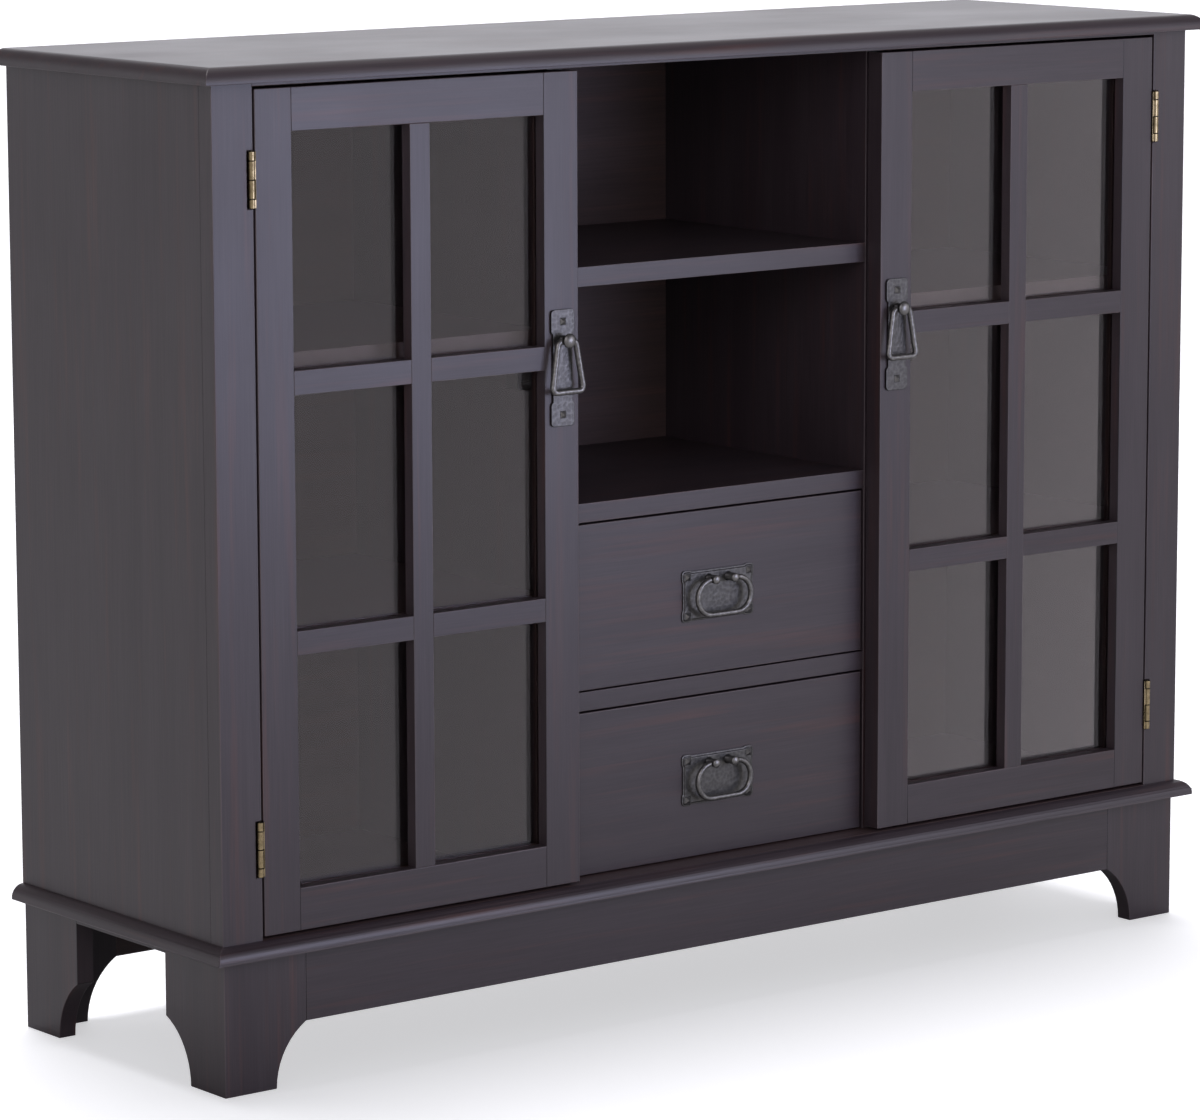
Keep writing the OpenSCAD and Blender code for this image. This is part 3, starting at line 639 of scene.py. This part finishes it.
def peen(mesh, cell, depth, seed, floor, top=1.0, front_dents_shaded_sides=False):
    """Pushes dents into a mesh and writes how rubbed each point is left, from floor up to top.

    With the front-only switch the dents go straight back and the sides stay straight; the sides,
    which turn away from the front, also get painted shade, their rub falling almost to black.
    """
    count = len(mesh.vertices)
    points, normals = np.zeros(count * 3), np.zeros(count * 3)
    mesh.vertices.foreach_get("co", points)
    mesh.vertices.foreach_get("normal", normals)
    points, normals = points.reshape(-1, 3), normals.reshape(-1, 3)
    height = np.clip(nearest_mark(points, cell, seed) / 0.75, 0, 1) ** 2
    level = floor + (top - floor) * height
    if front_dents_shaded_sides:
        facing = np.clip(-normals[:, 1], 0, 1) ** 3
        normals = normals * 0 + np.array([0, -1, 0]) * facing[:, None]
        # Painted shade: faces that turn away from the front lose their rub and go nearly black, as if in
        # shadow.
        level *= 0.15 + 0.85 * facing
    points = points - normals * (depth * (1 - height))[:, None]
    mesh.vertices.foreach_set("co", points.ravel())
    note_rub_and_shade(mesh, level)
    mesh.update()


# %% A rough casting from a CAD node


def evaluated_mesh(source):
    """The mesh that an object's modifiers make, as a plain mesh, and the source removed."""
    mesh = bpy.data.meshes.new_from_object(
        source.evaluated_get(bpy.context.evaluated_depsgraph_get())
    )
    for modifier in list(source.modifiers):
        source.modifiers.remove(modifier)
    bpy.data.objects.remove(source)
    return mesh


def casting(node, voxel, softening):
    """A CAD node as small even faces with its corners softened, like metal from a mould."""
    bm = welded(node)
    mesh = bpy.data.meshes.new(node + "_rough")
    bm.to_mesh(mesh)
    bm.free()
    rough = bpy.data.objects.new(node + "_rough", mesh)
    scene.collection.objects.link(rough)
    remesh = rough.modifiers.new("even_faces", "REMESH")
    remesh.mode = "VOXEL"
    remesh.voxel_size = voxel
    soften = rough.modifiers.new("soften", "SMOOTH")
    soften.factor = 0.5
    soften.iterations = softening
    return evaluated_mesh(rough)


# %% Plates of the pulls
HAMMER = 3.4 * MM
DENT = 0.1 * MM
PLATE_RUB = (0.24, 0.4)
NAIL_SPREAD = 1.12
NAIL_SHADE_BAND = 0.9 * MM
plates = {"left_door_pull_plate": 0.36, "right_door_pull_plate": 0.36}
plates |= {"upper_drawer_pull_plate": 0.44, "lower_drawer_pull_plate": 0.44}
for seed, (node, voxel) in enumerate(plates.items()):
    mesh = casting(node, voxel * MM, 1)
    peen(mesh, HAMMER, DENT, 500 + seed, *PLATE_RUB, front_dents_shaded_sides=True)
    # Painted shade: the plate is darkened in a band around each nail head, where the head sits on it.
    nails = welded(node.replace("plate", "nails"))
    heads = [np.array([v.co for f in group for v in f.verts]) for group in islands(nails)]
    nails.free()
    points = np.array([v.co for v in mesh.vertices])
    rub_and_shade = np.zeros(len(points), np.float32)
    mesh.attributes["rub_and_shade"].data.foreach_get("value", rub_and_shade)
    for head in heads:
        middle = (head.min(0) + head.max(0)) / 2
        reach = np.abs(points - middle)[:, [0, 2]].max(1)
        half = np.ptp(head, axis=0)[[0, 2]].max() / 2
        rub_and_shade *= np.clip((reach - half * NAIL_SPREAD) / NAIL_SHADE_BAND, 0, 1)
    note_rub_and_shade(mesh, rub_and_shade)
    mesh.shade_smooth()
    finished(node + "_casting", mesh, iron, frame["nodes"][node]["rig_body"], [node])
print("plates:", len(plates))

# %% Posts of the pulls
HEAD_SPREAD = 1.25
HEAD_DEEP = 4.5 * MM
NECK = 4 * MM


def spread_head(verts):
    """Widens the front of a post, as a rivet set spreads its head."""
    front = min(v.co.y for v in verts)
    x = (min(v.co.x for v in verts) + max(v.co.x for v in verts)) / 2
    z = (min(v.co.z for v in verts) + max(v.co.z for v in verts)) / 2
    for vert in verts:
        share = HEAD_SPREAD if vert.co.y < front + HEAD_DEEP else 1.0
        vert.co.x = x + (vert.co.x - x) * share
        vert.co.z = z + (vert.co.z - z) * share


posts = ["left_door_pull_post", "right_door_pull_post"]
posts += ["upper_drawer_pull_posts", "lower_drawer_pull_posts"]
for node in posts:
    bm = welded(node)
    ease(bm, SMALL)
    bmesh.ops.triangulate(bm, faces=bm.faces)
    for head in islands(bm):
        spread_head({v for f in head for v in f.verts})
    mesh = bpy.data.meshes.new(node)
    bm.to_mesh(mesh)
    bm.free()
    smooth_where_round(mesh, 50)
    # Fingers rub the head bright, and the neck behind it stays black.
    points = np.array([v.co for v in mesh.vertices])
    # The front of the post is lighter, as if rubbed by fingers, and shade is painted down the neck behind
    # the head, darker towards the plate.
    behind = (points[:, 1] - points[:, 1].min()) / NECK
    note_rub_and_shade(mesh, np.clip(0.72 - 0.5 * behind, 0.1, 1))
    finished(node + "_turned", mesh, iron, frame["nodes"][node]["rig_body"], [node])
print("posts:", len(posts))

# %% [markdown]
# ## Geometry Nodes, once for what repeats and once for what follows a path
# Nails, screws and pins are one small shape at many places, and a handle is a round bar that
# follows a bent line. Both are what Geometry Nodes are good at. A tree here takes its sizes
# from named inputs, and ends by making its instances real and giving them their material.

# %% Helpers to build and run a tree


def new_tree(name, sizes):
    """An empty geometry tree with a geometry input, named sizes, and a material input."""
    tree = bpy.data.node_groups.new(name, "GeometryNodeTree")
    sockets = tree.interface
    sockets.new_socket("Geometry", in_out="INPUT", socket_type="NodeSocketGeometry")
    for label, size in sizes.items():
        socket = sockets.new_socket(label, in_out="INPUT", socket_type="NodeSocketFloat")
        socket.default_value = size
    sockets.new_socket("Finish", in_out="INPUT", socket_type="NodeSocketMaterial")
    sockets.new_socket("Geometry", in_out="OUTPUT", socket_type="NodeSocketGeometry")
    return tree, add(tree, "NodeGroupInput").outputs


def close_tree(tree, given, geometry):
    """Ends a tree: instances made real, material set, result out."""
    real = add(tree, "GeometryNodeRealizeInstances", {"Geometry": geometry}).outputs[0]
    done = add(tree, "GeometryNodeSetMaterial", {"Geometry": real, "Material": given["Finish"]})
    add(tree, "NodeGroupOutput", {"Geometry": done.outputs[0]})


def grown(name, tree, points, edges, sizes, finish):
    """Runs a tree on a few points or a line and returns the plain mesh that it makes."""
    mesh = bpy.data.meshes.new(name + "_seed")
    mesh.from_pydata([tuple(p) for p in points], edges, [])
    source = bpy.data.objects.new(name + "_seed", mesh)
    scene.collection.objects.link(source)
    modifier = source.modifiers.new(tree.name, "NODES")
    modifier.node_group = tree
    named = {s.name: s.identifier for s in tree.interface.items_tree if s.in_out == "INPUT"}
    for label, value in {**sizes, "Finish": finish}.items():
        modifier[named[label]] = value
    return evaluated_mesh(source)


def middles(node):
    """The middle, lowest and highest corner of each separate solid in a CAD node."""
    bm = welded(node)
    spans = [np.array([v.co for f in group for v in f.verts]) for group in islands(bm)]
    bm.free()
    return [(Vector((s.min(0) + s.max(0)) / 2), Vector(s.min(0)), Vector(s.max(0))) for s in spans]


# %% [markdown]
# ## Nails
# The plates are held by nails whose heads are low square pyramids. One head is a cone with four
# sides, turned by an eighth so that its sides stand square, with a thin round shank behind it.
# The drawing says where each nail is and how far it stands out; the tree repeats the shape.

# %% Pyramid nails
nail_sizes = {"Head width": 5.4 * MM, "Head height": 2.2 * MM, "Shank": 8 * MM}
nail_tree, given = new_tree("pyramid_nails", nail_sizes)
# The radius of a square's corner is its width over the square root of two.
corner = {0: given["Head width"], 1: math.sqrt(0.5)}
wide = add(nail_tree, "ShaderNodeMath", corner, operation="MULTIPLY")
head = add(
    nail_tree,
    "GeometryNodeMeshCone",
    {"Vertices": 4, "Side Segments": 3, "Radius Top": 0.0, "Radius Bottom": wide.outputs[0]}
    | {"Depth": given["Head height"]},
).outputs["Mesh"]
square = add(nail_tree, "GeometryNodeTransform", {"Geometry": head, "Rotation": (0, 0, math.pi / 4)})
thin = add(nail_tree, "ShaderNodeMath", {0: given["Head width"], 1: 0.16}, operation="MULTIPLY")
shank = add(
    nail_tree,
    "GeometryNodeMeshCylinder",
    {"Vertices": 10, "Radius": thin.outputs[0], "Depth": given["Shank"]},
).outputs["Mesh"]
back_by = add(nail_tree, "ShaderNodeMath", {0: given["Shank"], 1: -0.5}, operation="MULTIPLY")
back_place = add(nail_tree, "ShaderNodeCombineXYZ", {"Z": back_by.outputs[0]})
shank_back = add(
    nail_tree, "GeometryNodeTransform", {"Geometry": shank, "Translation": back_place.outputs[0]}
)
nail = add(nail_tree, "GeometryNodeJoinGeometry")
nail_tree.links.new(square.outputs[0], nail.inputs[0])
nail_tree.links.new(shank_back.outputs[0], nail.inputs[0])
driven = add(
    nail_tree,
    "GeometryNodeInstanceOnPoints",
    {"Points": given["Geometry"], "Instance": nail.outputs[0], "Rotation": (math.pi / 2, 0, 0)},
)
close_tree(nail_tree, given, driven.outputs[0])

nail_nodes = [plate.replace("plate", "nails") for plate in plates]
for node in nail_nodes:
    plate_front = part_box(node.replace("nails", "plate"))[0].y
    spots = middles(node)
    width = spots[0][2].x - spots[0][1].x
    height = plate_front - spots[0][1].y
    points = [(m.x, plate_front, m.z) for m, lo, hi in spots]
    shank_length = spots[0][2].y - plate_front
    sizes = {"Head width": width * NAIL_SPREAD, "Head height": height, "Shank": shank_length}
    mesh = grown(node, nail_tree, points, [], sizes, iron)
    note_rub_and_shade(mesh, np.full(len(mesh.vertices), 0.5))
    finished(node + "_driven", mesh, iron, frame["nodes"][node]["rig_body"], [node])
print("nails driven:", sum(len(middles(n)) for n in nail_nodes))

# %% [markdown]
# ## Handles: a bar that follows a line
# The door pull is a trapezoid of round bar, bent with small corners, and the drawer pull is an
# oval ring whose ends turn in to the posts. Each line is set out from the drawing's own box,
# the corners are filleted, and a round section is swept along. Then the bar is slimmed where
# it turns in its posts, as a smith draws it down there, and dented all over like the plates.

# %% Round bar tree
bar_tree, given = new_tree("round_bar", {"Radius": 2 * MM, "Corner": 3 * MM, "Step": 0.6 * MM})
line = add(bar_tree, "GeometryNodeMeshToCurve", {"Mesh": given["Geometry"]}).outputs[0]
fillet = {"Curve": line, "Radius": given["Corner"], "Count": 8}
bent = add(bar_tree, "GeometryNodeFilletCurve", fillet, mode="POLY").outputs[0]
spaced = {"Curve": bent, "Length": given["Step"]}
even = add(bar_tree, "GeometryNodeResampleCurve", spaced, mode="LENGTH")
circle = {"Resolution": 20, "Radius": given["Radius"]}
section = add(bar_tree, "GeometryNodeCurvePrimitiveCircle", circle)
swept = add(
    bar_tree,
    "GeometryNodeCurveToMesh",
    {"Curve": even.outputs[0], "Profile Curve": section.outputs[0], "Fill Caps": True},
)
close_tree(bar_tree, given, swept.outputs[0])
print("tree:", bar_tree.name, "with", len(bar_tree.nodes), "nodes")

# %% Door bails
HANDLE_HAMMER = 3.2 * MM
HANDLE_RUB = (0.4, 0.72)
PIVOT_HALF = 4 * MM


def slimmed(mesh, middle, reach, y, z, share):
    """Slims a bar to a share of its thickness where it turns in its post."""
    for vert in mesh.vertices:
        if abs(vert.co.x - middle) < reach and abs(vert.co.z - z) < PIVOT_HALF:
            vert.co.y = y + (vert.co.y - y) * share
            vert.co.z = z + (vert.co.z - z) * share


BAIL_NARROW = 0.56
BAIL_THICK = 2.9 * MM
BAIL_BOW = 1.5 * MM
BAIL_CORNER = 4.6 * MM
BAIL_PIVOT = 5.5 * MM
BAIL_SLIM = 0.68
for seed, side in enumerate(("left", "right")):
    node = side + "_door_pull_bail"
    lo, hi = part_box(node)
    middle, y = (lo.x + hi.x) / 2, (lo.y + hi.y) / 2
    foot_half = (hi.x - lo.x) / 2 - BAIL_THICK * 0.5
    head_half = foot_half * BAIL_NARROW
    top, bottom = hi.z - BAIL_THICK, lo.z + BAIL_THICK * 1.1
    points = [
        (middle - head_half, y, top),
        (middle + head_half, y, top),
        (middle + foot_half, y - BAIL_BOW, bottom),
        (middle - foot_half, y - BAIL_BOW, bottom),
    ]
    loop = [(0, 1), (1, 2), (2, 3), (3, 0)]
    sizes = {"Radius": BAIL_THICK, "Corner": BAIL_CORNER, "Step": 0.5 * MM}
    mesh = grown(node, bar_tree, points, loop, sizes, iron)
    slimmed(mesh, middle, BAIL_PIVOT, y, top, BAIL_SLIM)
    peen(mesh, HANDLE_HAMMER, DENT, 540 + seed, *HANDLE_RUB)
    mesh.shade_smooth()
    finished(node + "_bar", mesh, iron, frame["nodes"][node]["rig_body"], [node])
print("bails bent: 2, each", round(foot_half * 2 / MM), "mm wide at the foot")

# %% Drawer rings
RING_THICK = 2.7 * MM
RING_SLIM = 0.55
INSIDE_POST = 3 * MM
BEND_STEPS = 24
for seed, level in enumerate(("upper", "lower")):
    node = level + "_drawer_pull_ring"
    lo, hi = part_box(node)
    posts_lo, posts_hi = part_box(level + "_drawer_pull_posts")
    middle, y = (lo.x + hi.x) / 2, (lo.y + hi.y) / 2
    pivot = (posts_lo.z + posts_hi.z) / 2
    bend = (pivot - lo.z - RING_THICK) / 2
    half = (hi.x - lo.x) / 2 - RING_THICK - bend
    inner = (posts_hi.x - posts_lo.x) / 2 - INSIDE_POST
    arc = [math.radians(90 - 180 * i / BEND_STEPS) for i in range(BEND_STEPS + 1)]
    right = [(half + bend * math.cos(a), pivot - bend + bend * math.sin(a)) for a in arc]
    outline = [(inner, pivot)] + right + [(-x, z) for x, z in reversed(right)] + [(-inner, pivot)]
    points = [(middle + x, y, z) for x, z in outline]
    run = [(i, i + 1) for i in range(len(points) - 1)]
    sizes = {"Radius": RING_THICK, "Corner": 0.5 * MM, "Step": 0.6 * MM}
    mesh = grown(node, bar_tree, points, run, sizes, iron)
    slimmed(mesh, middle, inner + PIVOT_HALF, y, pivot, RING_SLIM)
    peen(mesh, HANDLE_HAMMER, DENT, 550 + seed, *HANDLE_RUB)
    mesh.shade_smooth()
    finished(node + "_bar", mesh, iron, frame["nodes"][node]["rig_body"], [node])
print("rings bent: 2, each", round(half * 2 / MM), "mm between the middles of its bends")

# %% [markdown]
# ## Hinges, catches and shelf pins
# The hinges are small brass butts, lacquered in an antique tone, so they are dull. Their
# knuckles come from the drawing with true gaps between them, and only their rims are eased.
# Shade is painted on them through an attribute: it is high on the knuckle ends in the gaps and
# down the sides that turn away from the front, so that only a bright line down the front of the
# knuckles stays light. Catches are black moulded plastic, and the rest is zinc plated.

# %% Metals and plastic
# The near-black colour of the shade painted on the hinges, in their gaps and down their sides.
PAINTED_SHADE = "#120d08"


def plain_finish(name, dark, light, metallic, rough, grain_size, relief):
    """A hard finish with fine mottling of a given size in metres."""
    material = bpy.data.materials.new(name)
    material.use_nodes = True
    tree = material.node_tree
    shader = tree.nodes["Principled BSDF"]
    places = add(tree, "ShaderNodeTexCoord").outputs["Object"]
    mottle = add(tree, "ShaderNodeTexNoise", {"Vector": places, "Scale": 1 / grain_size, "Detail": 4.0})
    spread = {"Value": mottle.outputs["Fac"], "From Min": 0.3, "From Max": 0.7}
    share = add(tree, "ShaderNodeMapRange", spread).outputs["Result"]
    colour = add(tree, "ShaderNodeMix", {0: share, 6: linear(dark), 7: linear(light)}, data_type="RGBA")
    # Painted shade: where the attribute is high, the colour goes to the near-black shade colour.
    painted_shade = add(tree, "ShaderNodeAttribute", attribute_name="painted_shade").outputs["Fac"]
    with_painted_shade = {0: painted_shade, 6: colour.outputs[2], 7: linear(PAINTED_SHADE)}
    with_painted_shade = add(tree, "ShaderNodeMix", with_painted_shade, data_type="RGBA")
    tree.links.new(with_painted_shade.outputs[2], shader.inputs["Base Color"])
    shader.inputs["Metallic"].default_value = metallic
    level = {"Value": share, "To Min": rough + 0.08, "To Max": rough - 0.06}
    tree.links.new(add(tree, "ShaderNodeMapRange", level).outputs["Result"], shader.inputs["Roughness"])
    raised = {"Height": mottle.outputs["Fac"], "Strength": 0.4, "Distance": relief}
    bump = add(tree, "ShaderNodeBump", raised)
    tree.links.new(bump.outputs["Normal"], shader.inputs["Normal"])
    return material


# Antiqued brass: brown lacquer over yellow metal, mottled lighter and darker at random.
brass = plain_finish("antiqued_brass", "#7d6e52", "#a89673", 1.0, 0.27, 5 * MM, 0.00002)
# Moulded plastic: black with a fine spark-eroded texture.
plastic = plain_finish("black_moulded_plastic", "#101011", "#1d1d1f", 0.0, 0.42, 0.8 * MM, 0.00002)
# Zinc plate: cool grey, slightly cloudy.
zinc = plain_finish("zinc_plated_steel", "#8e9297", "#c3c7cb", 1.0, 0.32, 1.5 * MM, 0.00002)
print("finishes:", brass.name, plastic.name, zinc.name)

# %% A small fitting from a CAD node


def eased(node, material, size, tail, painted_shade=0.0):
    """A small fitting with its rims eased.

    The last argument is how strongly shade is painted on the knuckle ends in the gaps and down
    the sides that turn away from the front; the crown is left light.
    """
    bm = welded(node)
    edges = [e for e in bm.edges if e.is_manifold and e.is_convex and e.calc_face_angle() > SHARP]
    bmesh.ops.bevel(
        bm, geom=edges, offset=size, segments=2, profile=0.5, affect="EDGES", clamp_overlap=False
    )
    bm.normal_update()
    shade_layer = bm.loops.layers.float.new("painted_shade")
    for face in bm.faces:
        for loop in face.loops:
            # Painted shade: knuckle ends, which face up or down into the gaps, and sides turned away from
            # the front are darkened.
            gap = float(abs(face.normal.z) > 0.3)
            side = min(max((0.85 + loop.vert.normal.y) / 0.45, 0.0), 1.0)
            loop[shade_layer] = painted_shade * max(gap, 0.85 * side)
    mesh = bpy.data.meshes.new(node)
    bm.to_mesh(mesh)
    bm.free()
    smooth_where_round(mesh, 50)
    piece = finished(node + tail, mesh, material, frame["nodes"][node]["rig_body"], [node])
    even_normals(piece)
    return piece


# %% Hinges, catches and strikes
for node in ("hinge_post_leaves", "left_door_hinge_leaves", "right_door_hinge_leaves", "hinge_pins"):
    eased(node, brass, 0.4 * MM, "_brass", painted_shade=1.0)
eased("door_catches", plastic, 0.5 * MM, "_moulded")
for side in ("left", "right"):
    eased(side + "_door_strike_plate", zinc, 0.15 * MM, "_plate")
print("hinges, catches and strikes eased")

# %% [markdown]
# ## Screws and shelf pins
# A countersunk screw shows a low dome with a cross cut in it. The dome is a sphere pressed
# flat, and two long thin blocks are cut away from it. Each hinge leaf holds three, and the door
# leaf faces the post, so its screws are only seen when the door stands open. A shelf pin is a
# short rod with a collar, half of it in the side and half under the shelf.

# %% Screws for the hinge leaves
screw_sizes = {"Head radius": 2.4 * MM, "Head rise": 0.35 * MM, "Turn": 0.0}
screw_tree, given = new_tree("countersunk_screws", screw_sizes)
radius = given["Head radius"]
dome = add(
    screw_tree,
    "GeometryNodeMeshUVSphere",
    {"Segments": 20, "Rings": 10, "Radius": radius},
).outputs["Mesh"]
flat_by = add(screw_tree, "ShaderNodeMath", {0: given["Head rise"], 1: radius}, operation="DIVIDE")
flat_scale = add(screw_tree, "ShaderNodeCombineXYZ", {"X": 1.0, "Y": 1.0, "Z": flat_by.outputs[0]})
pressed = {"Geometry": dome, "Scale": flat_scale.outputs[0]}
flat_head = add(screw_tree, "GeometryNodeTransform", pressed).outputs[0]
cut_long, cut_wide = [
    add(screw_tree, "ShaderNodeMath", {0: radius, 1: share}, operation="MULTIPLY").outputs[0]
    for share in (1.1, 0.24)
]
slotted = add(screw_tree, "GeometryNodeMeshBoolean", {"Mesh 1": flat_head}, operation="DIFFERENCE")
for x, y in ((cut_long, cut_wide), (cut_wide, cut_long)):
    size = add(screw_tree, "ShaderNodeCombineXYZ", {"X": x, "Y": y, "Z": cut_long}).outputs[0]
    block = add(screw_tree, "GeometryNodeMeshCube", {"Size": size}).outputs["Mesh"]
    screw_tree.links.new(block, slotted.inputs["Mesh 2"])
face_turn = add(screw_tree, "ShaderNodeCombineXYZ", {"Y": given["Turn"]}).outputs[0]
set_in = add(
    screw_tree,
    "GeometryNodeInstanceOnPoints",
    {"Points": given["Geometry"], "Instance": slotted.outputs["Mesh"], "Rotation": face_turn},
)
close_tree(screw_tree, given, set_in.outputs[0])

SCREW_ROWS = (-0.34, 0.0, 0.34)
LEAF_MIDDLE = 10 * MM
LEAF_GAP = 0.8 * MM
LEAST_LEAF = 30 * MM


def leaf_screws(name, node, body, faces, turn):
    """Three screws down each hinge leaf of a node, on each of the upright planes x in faces."""
    leaves = [(middle.z, hi.z - lo.z) for middle, lo, hi in middles(node)]
    points = [
        (x, post_lo.y + LEAF_MIDDLE, z + share * height)
        for z, height in leaves
        if height > LEAST_LEAF
        for share in SCREW_ROWS
        for x in faces
    ]
    mesh = grown(name, screw_tree, points, [], {"Turn": turn}, brass)
    finished(name, mesh, brass, body)


quarter = math.pi / 2
for side, sign in (("left", -1), ("right", 1)):
    door_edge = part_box(side + "_door_stiles")[0 if sign < 0 else 1].x
    face = door_edge + sign * LEAF_GAP
    door = side + "_door"
    leaf_screws(door + "_leaf_screws", door + "_hinge_leaves", door, [face], sign * quarter)
post_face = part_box("top_strip")[1].x
leaf_screws(
    "post_leaf_screws", "left_door_hinge_leaves", "cabinet", [-post_face, post_face], quarter
)
print("leaf screws set in, three to a leaf")

# %% Shelf pins
pin_tree, given = new_tree("shelf_pins", {"Radius": 2.5 * MM, "Length": 17 * MM, "Collar": 1.2 * MM})
collar_radius = add(pin_tree, "ShaderNodeMath", {0: given["Radius"], 1: 1.25}, operation="MULTIPLY")
pin = add(pin_tree, "GeometryNodeJoinGeometry")
rod_and_collar = [(given["Radius"], given["Length"]), (collar_radius.outputs[0], given["Collar"])]
for radius, depth in rod_and_collar:
    cylinder = {"Vertices": 20, "Radius": radius, "Depth": depth}
    part = add(pin_tree, "GeometryNodeMeshCylinder", cylinder).outputs["Mesh"]
    pin_tree.links.new(part, pin.inputs[0])
placed = add(
    pin_tree,
    "GeometryNodeInstanceOnPoints",
    {"Points": given["Geometry"], "Instance": pin.outputs[0], "Rotation": (0, math.pi / 2, 0)},
)
close_tree(pin_tree, given, placed.outputs[0])
pins = middles("shelf_pins")
sizes = {"Radius": (pins[0][2].z - pins[0][1].z) / 2, "Length": pins[0][2].x - pins[0][1].x}
mesh = grown("shelf_pins_turned", pin_tree, [m for m, lo, hi in pins], [], sizes, zinc)
smooth_where_round(mesh, 40)
finished("shelf_pins_turned", mesh, zinc, "cabinet", ["shelf_pins"])
print("shelf pins:", len(pins))
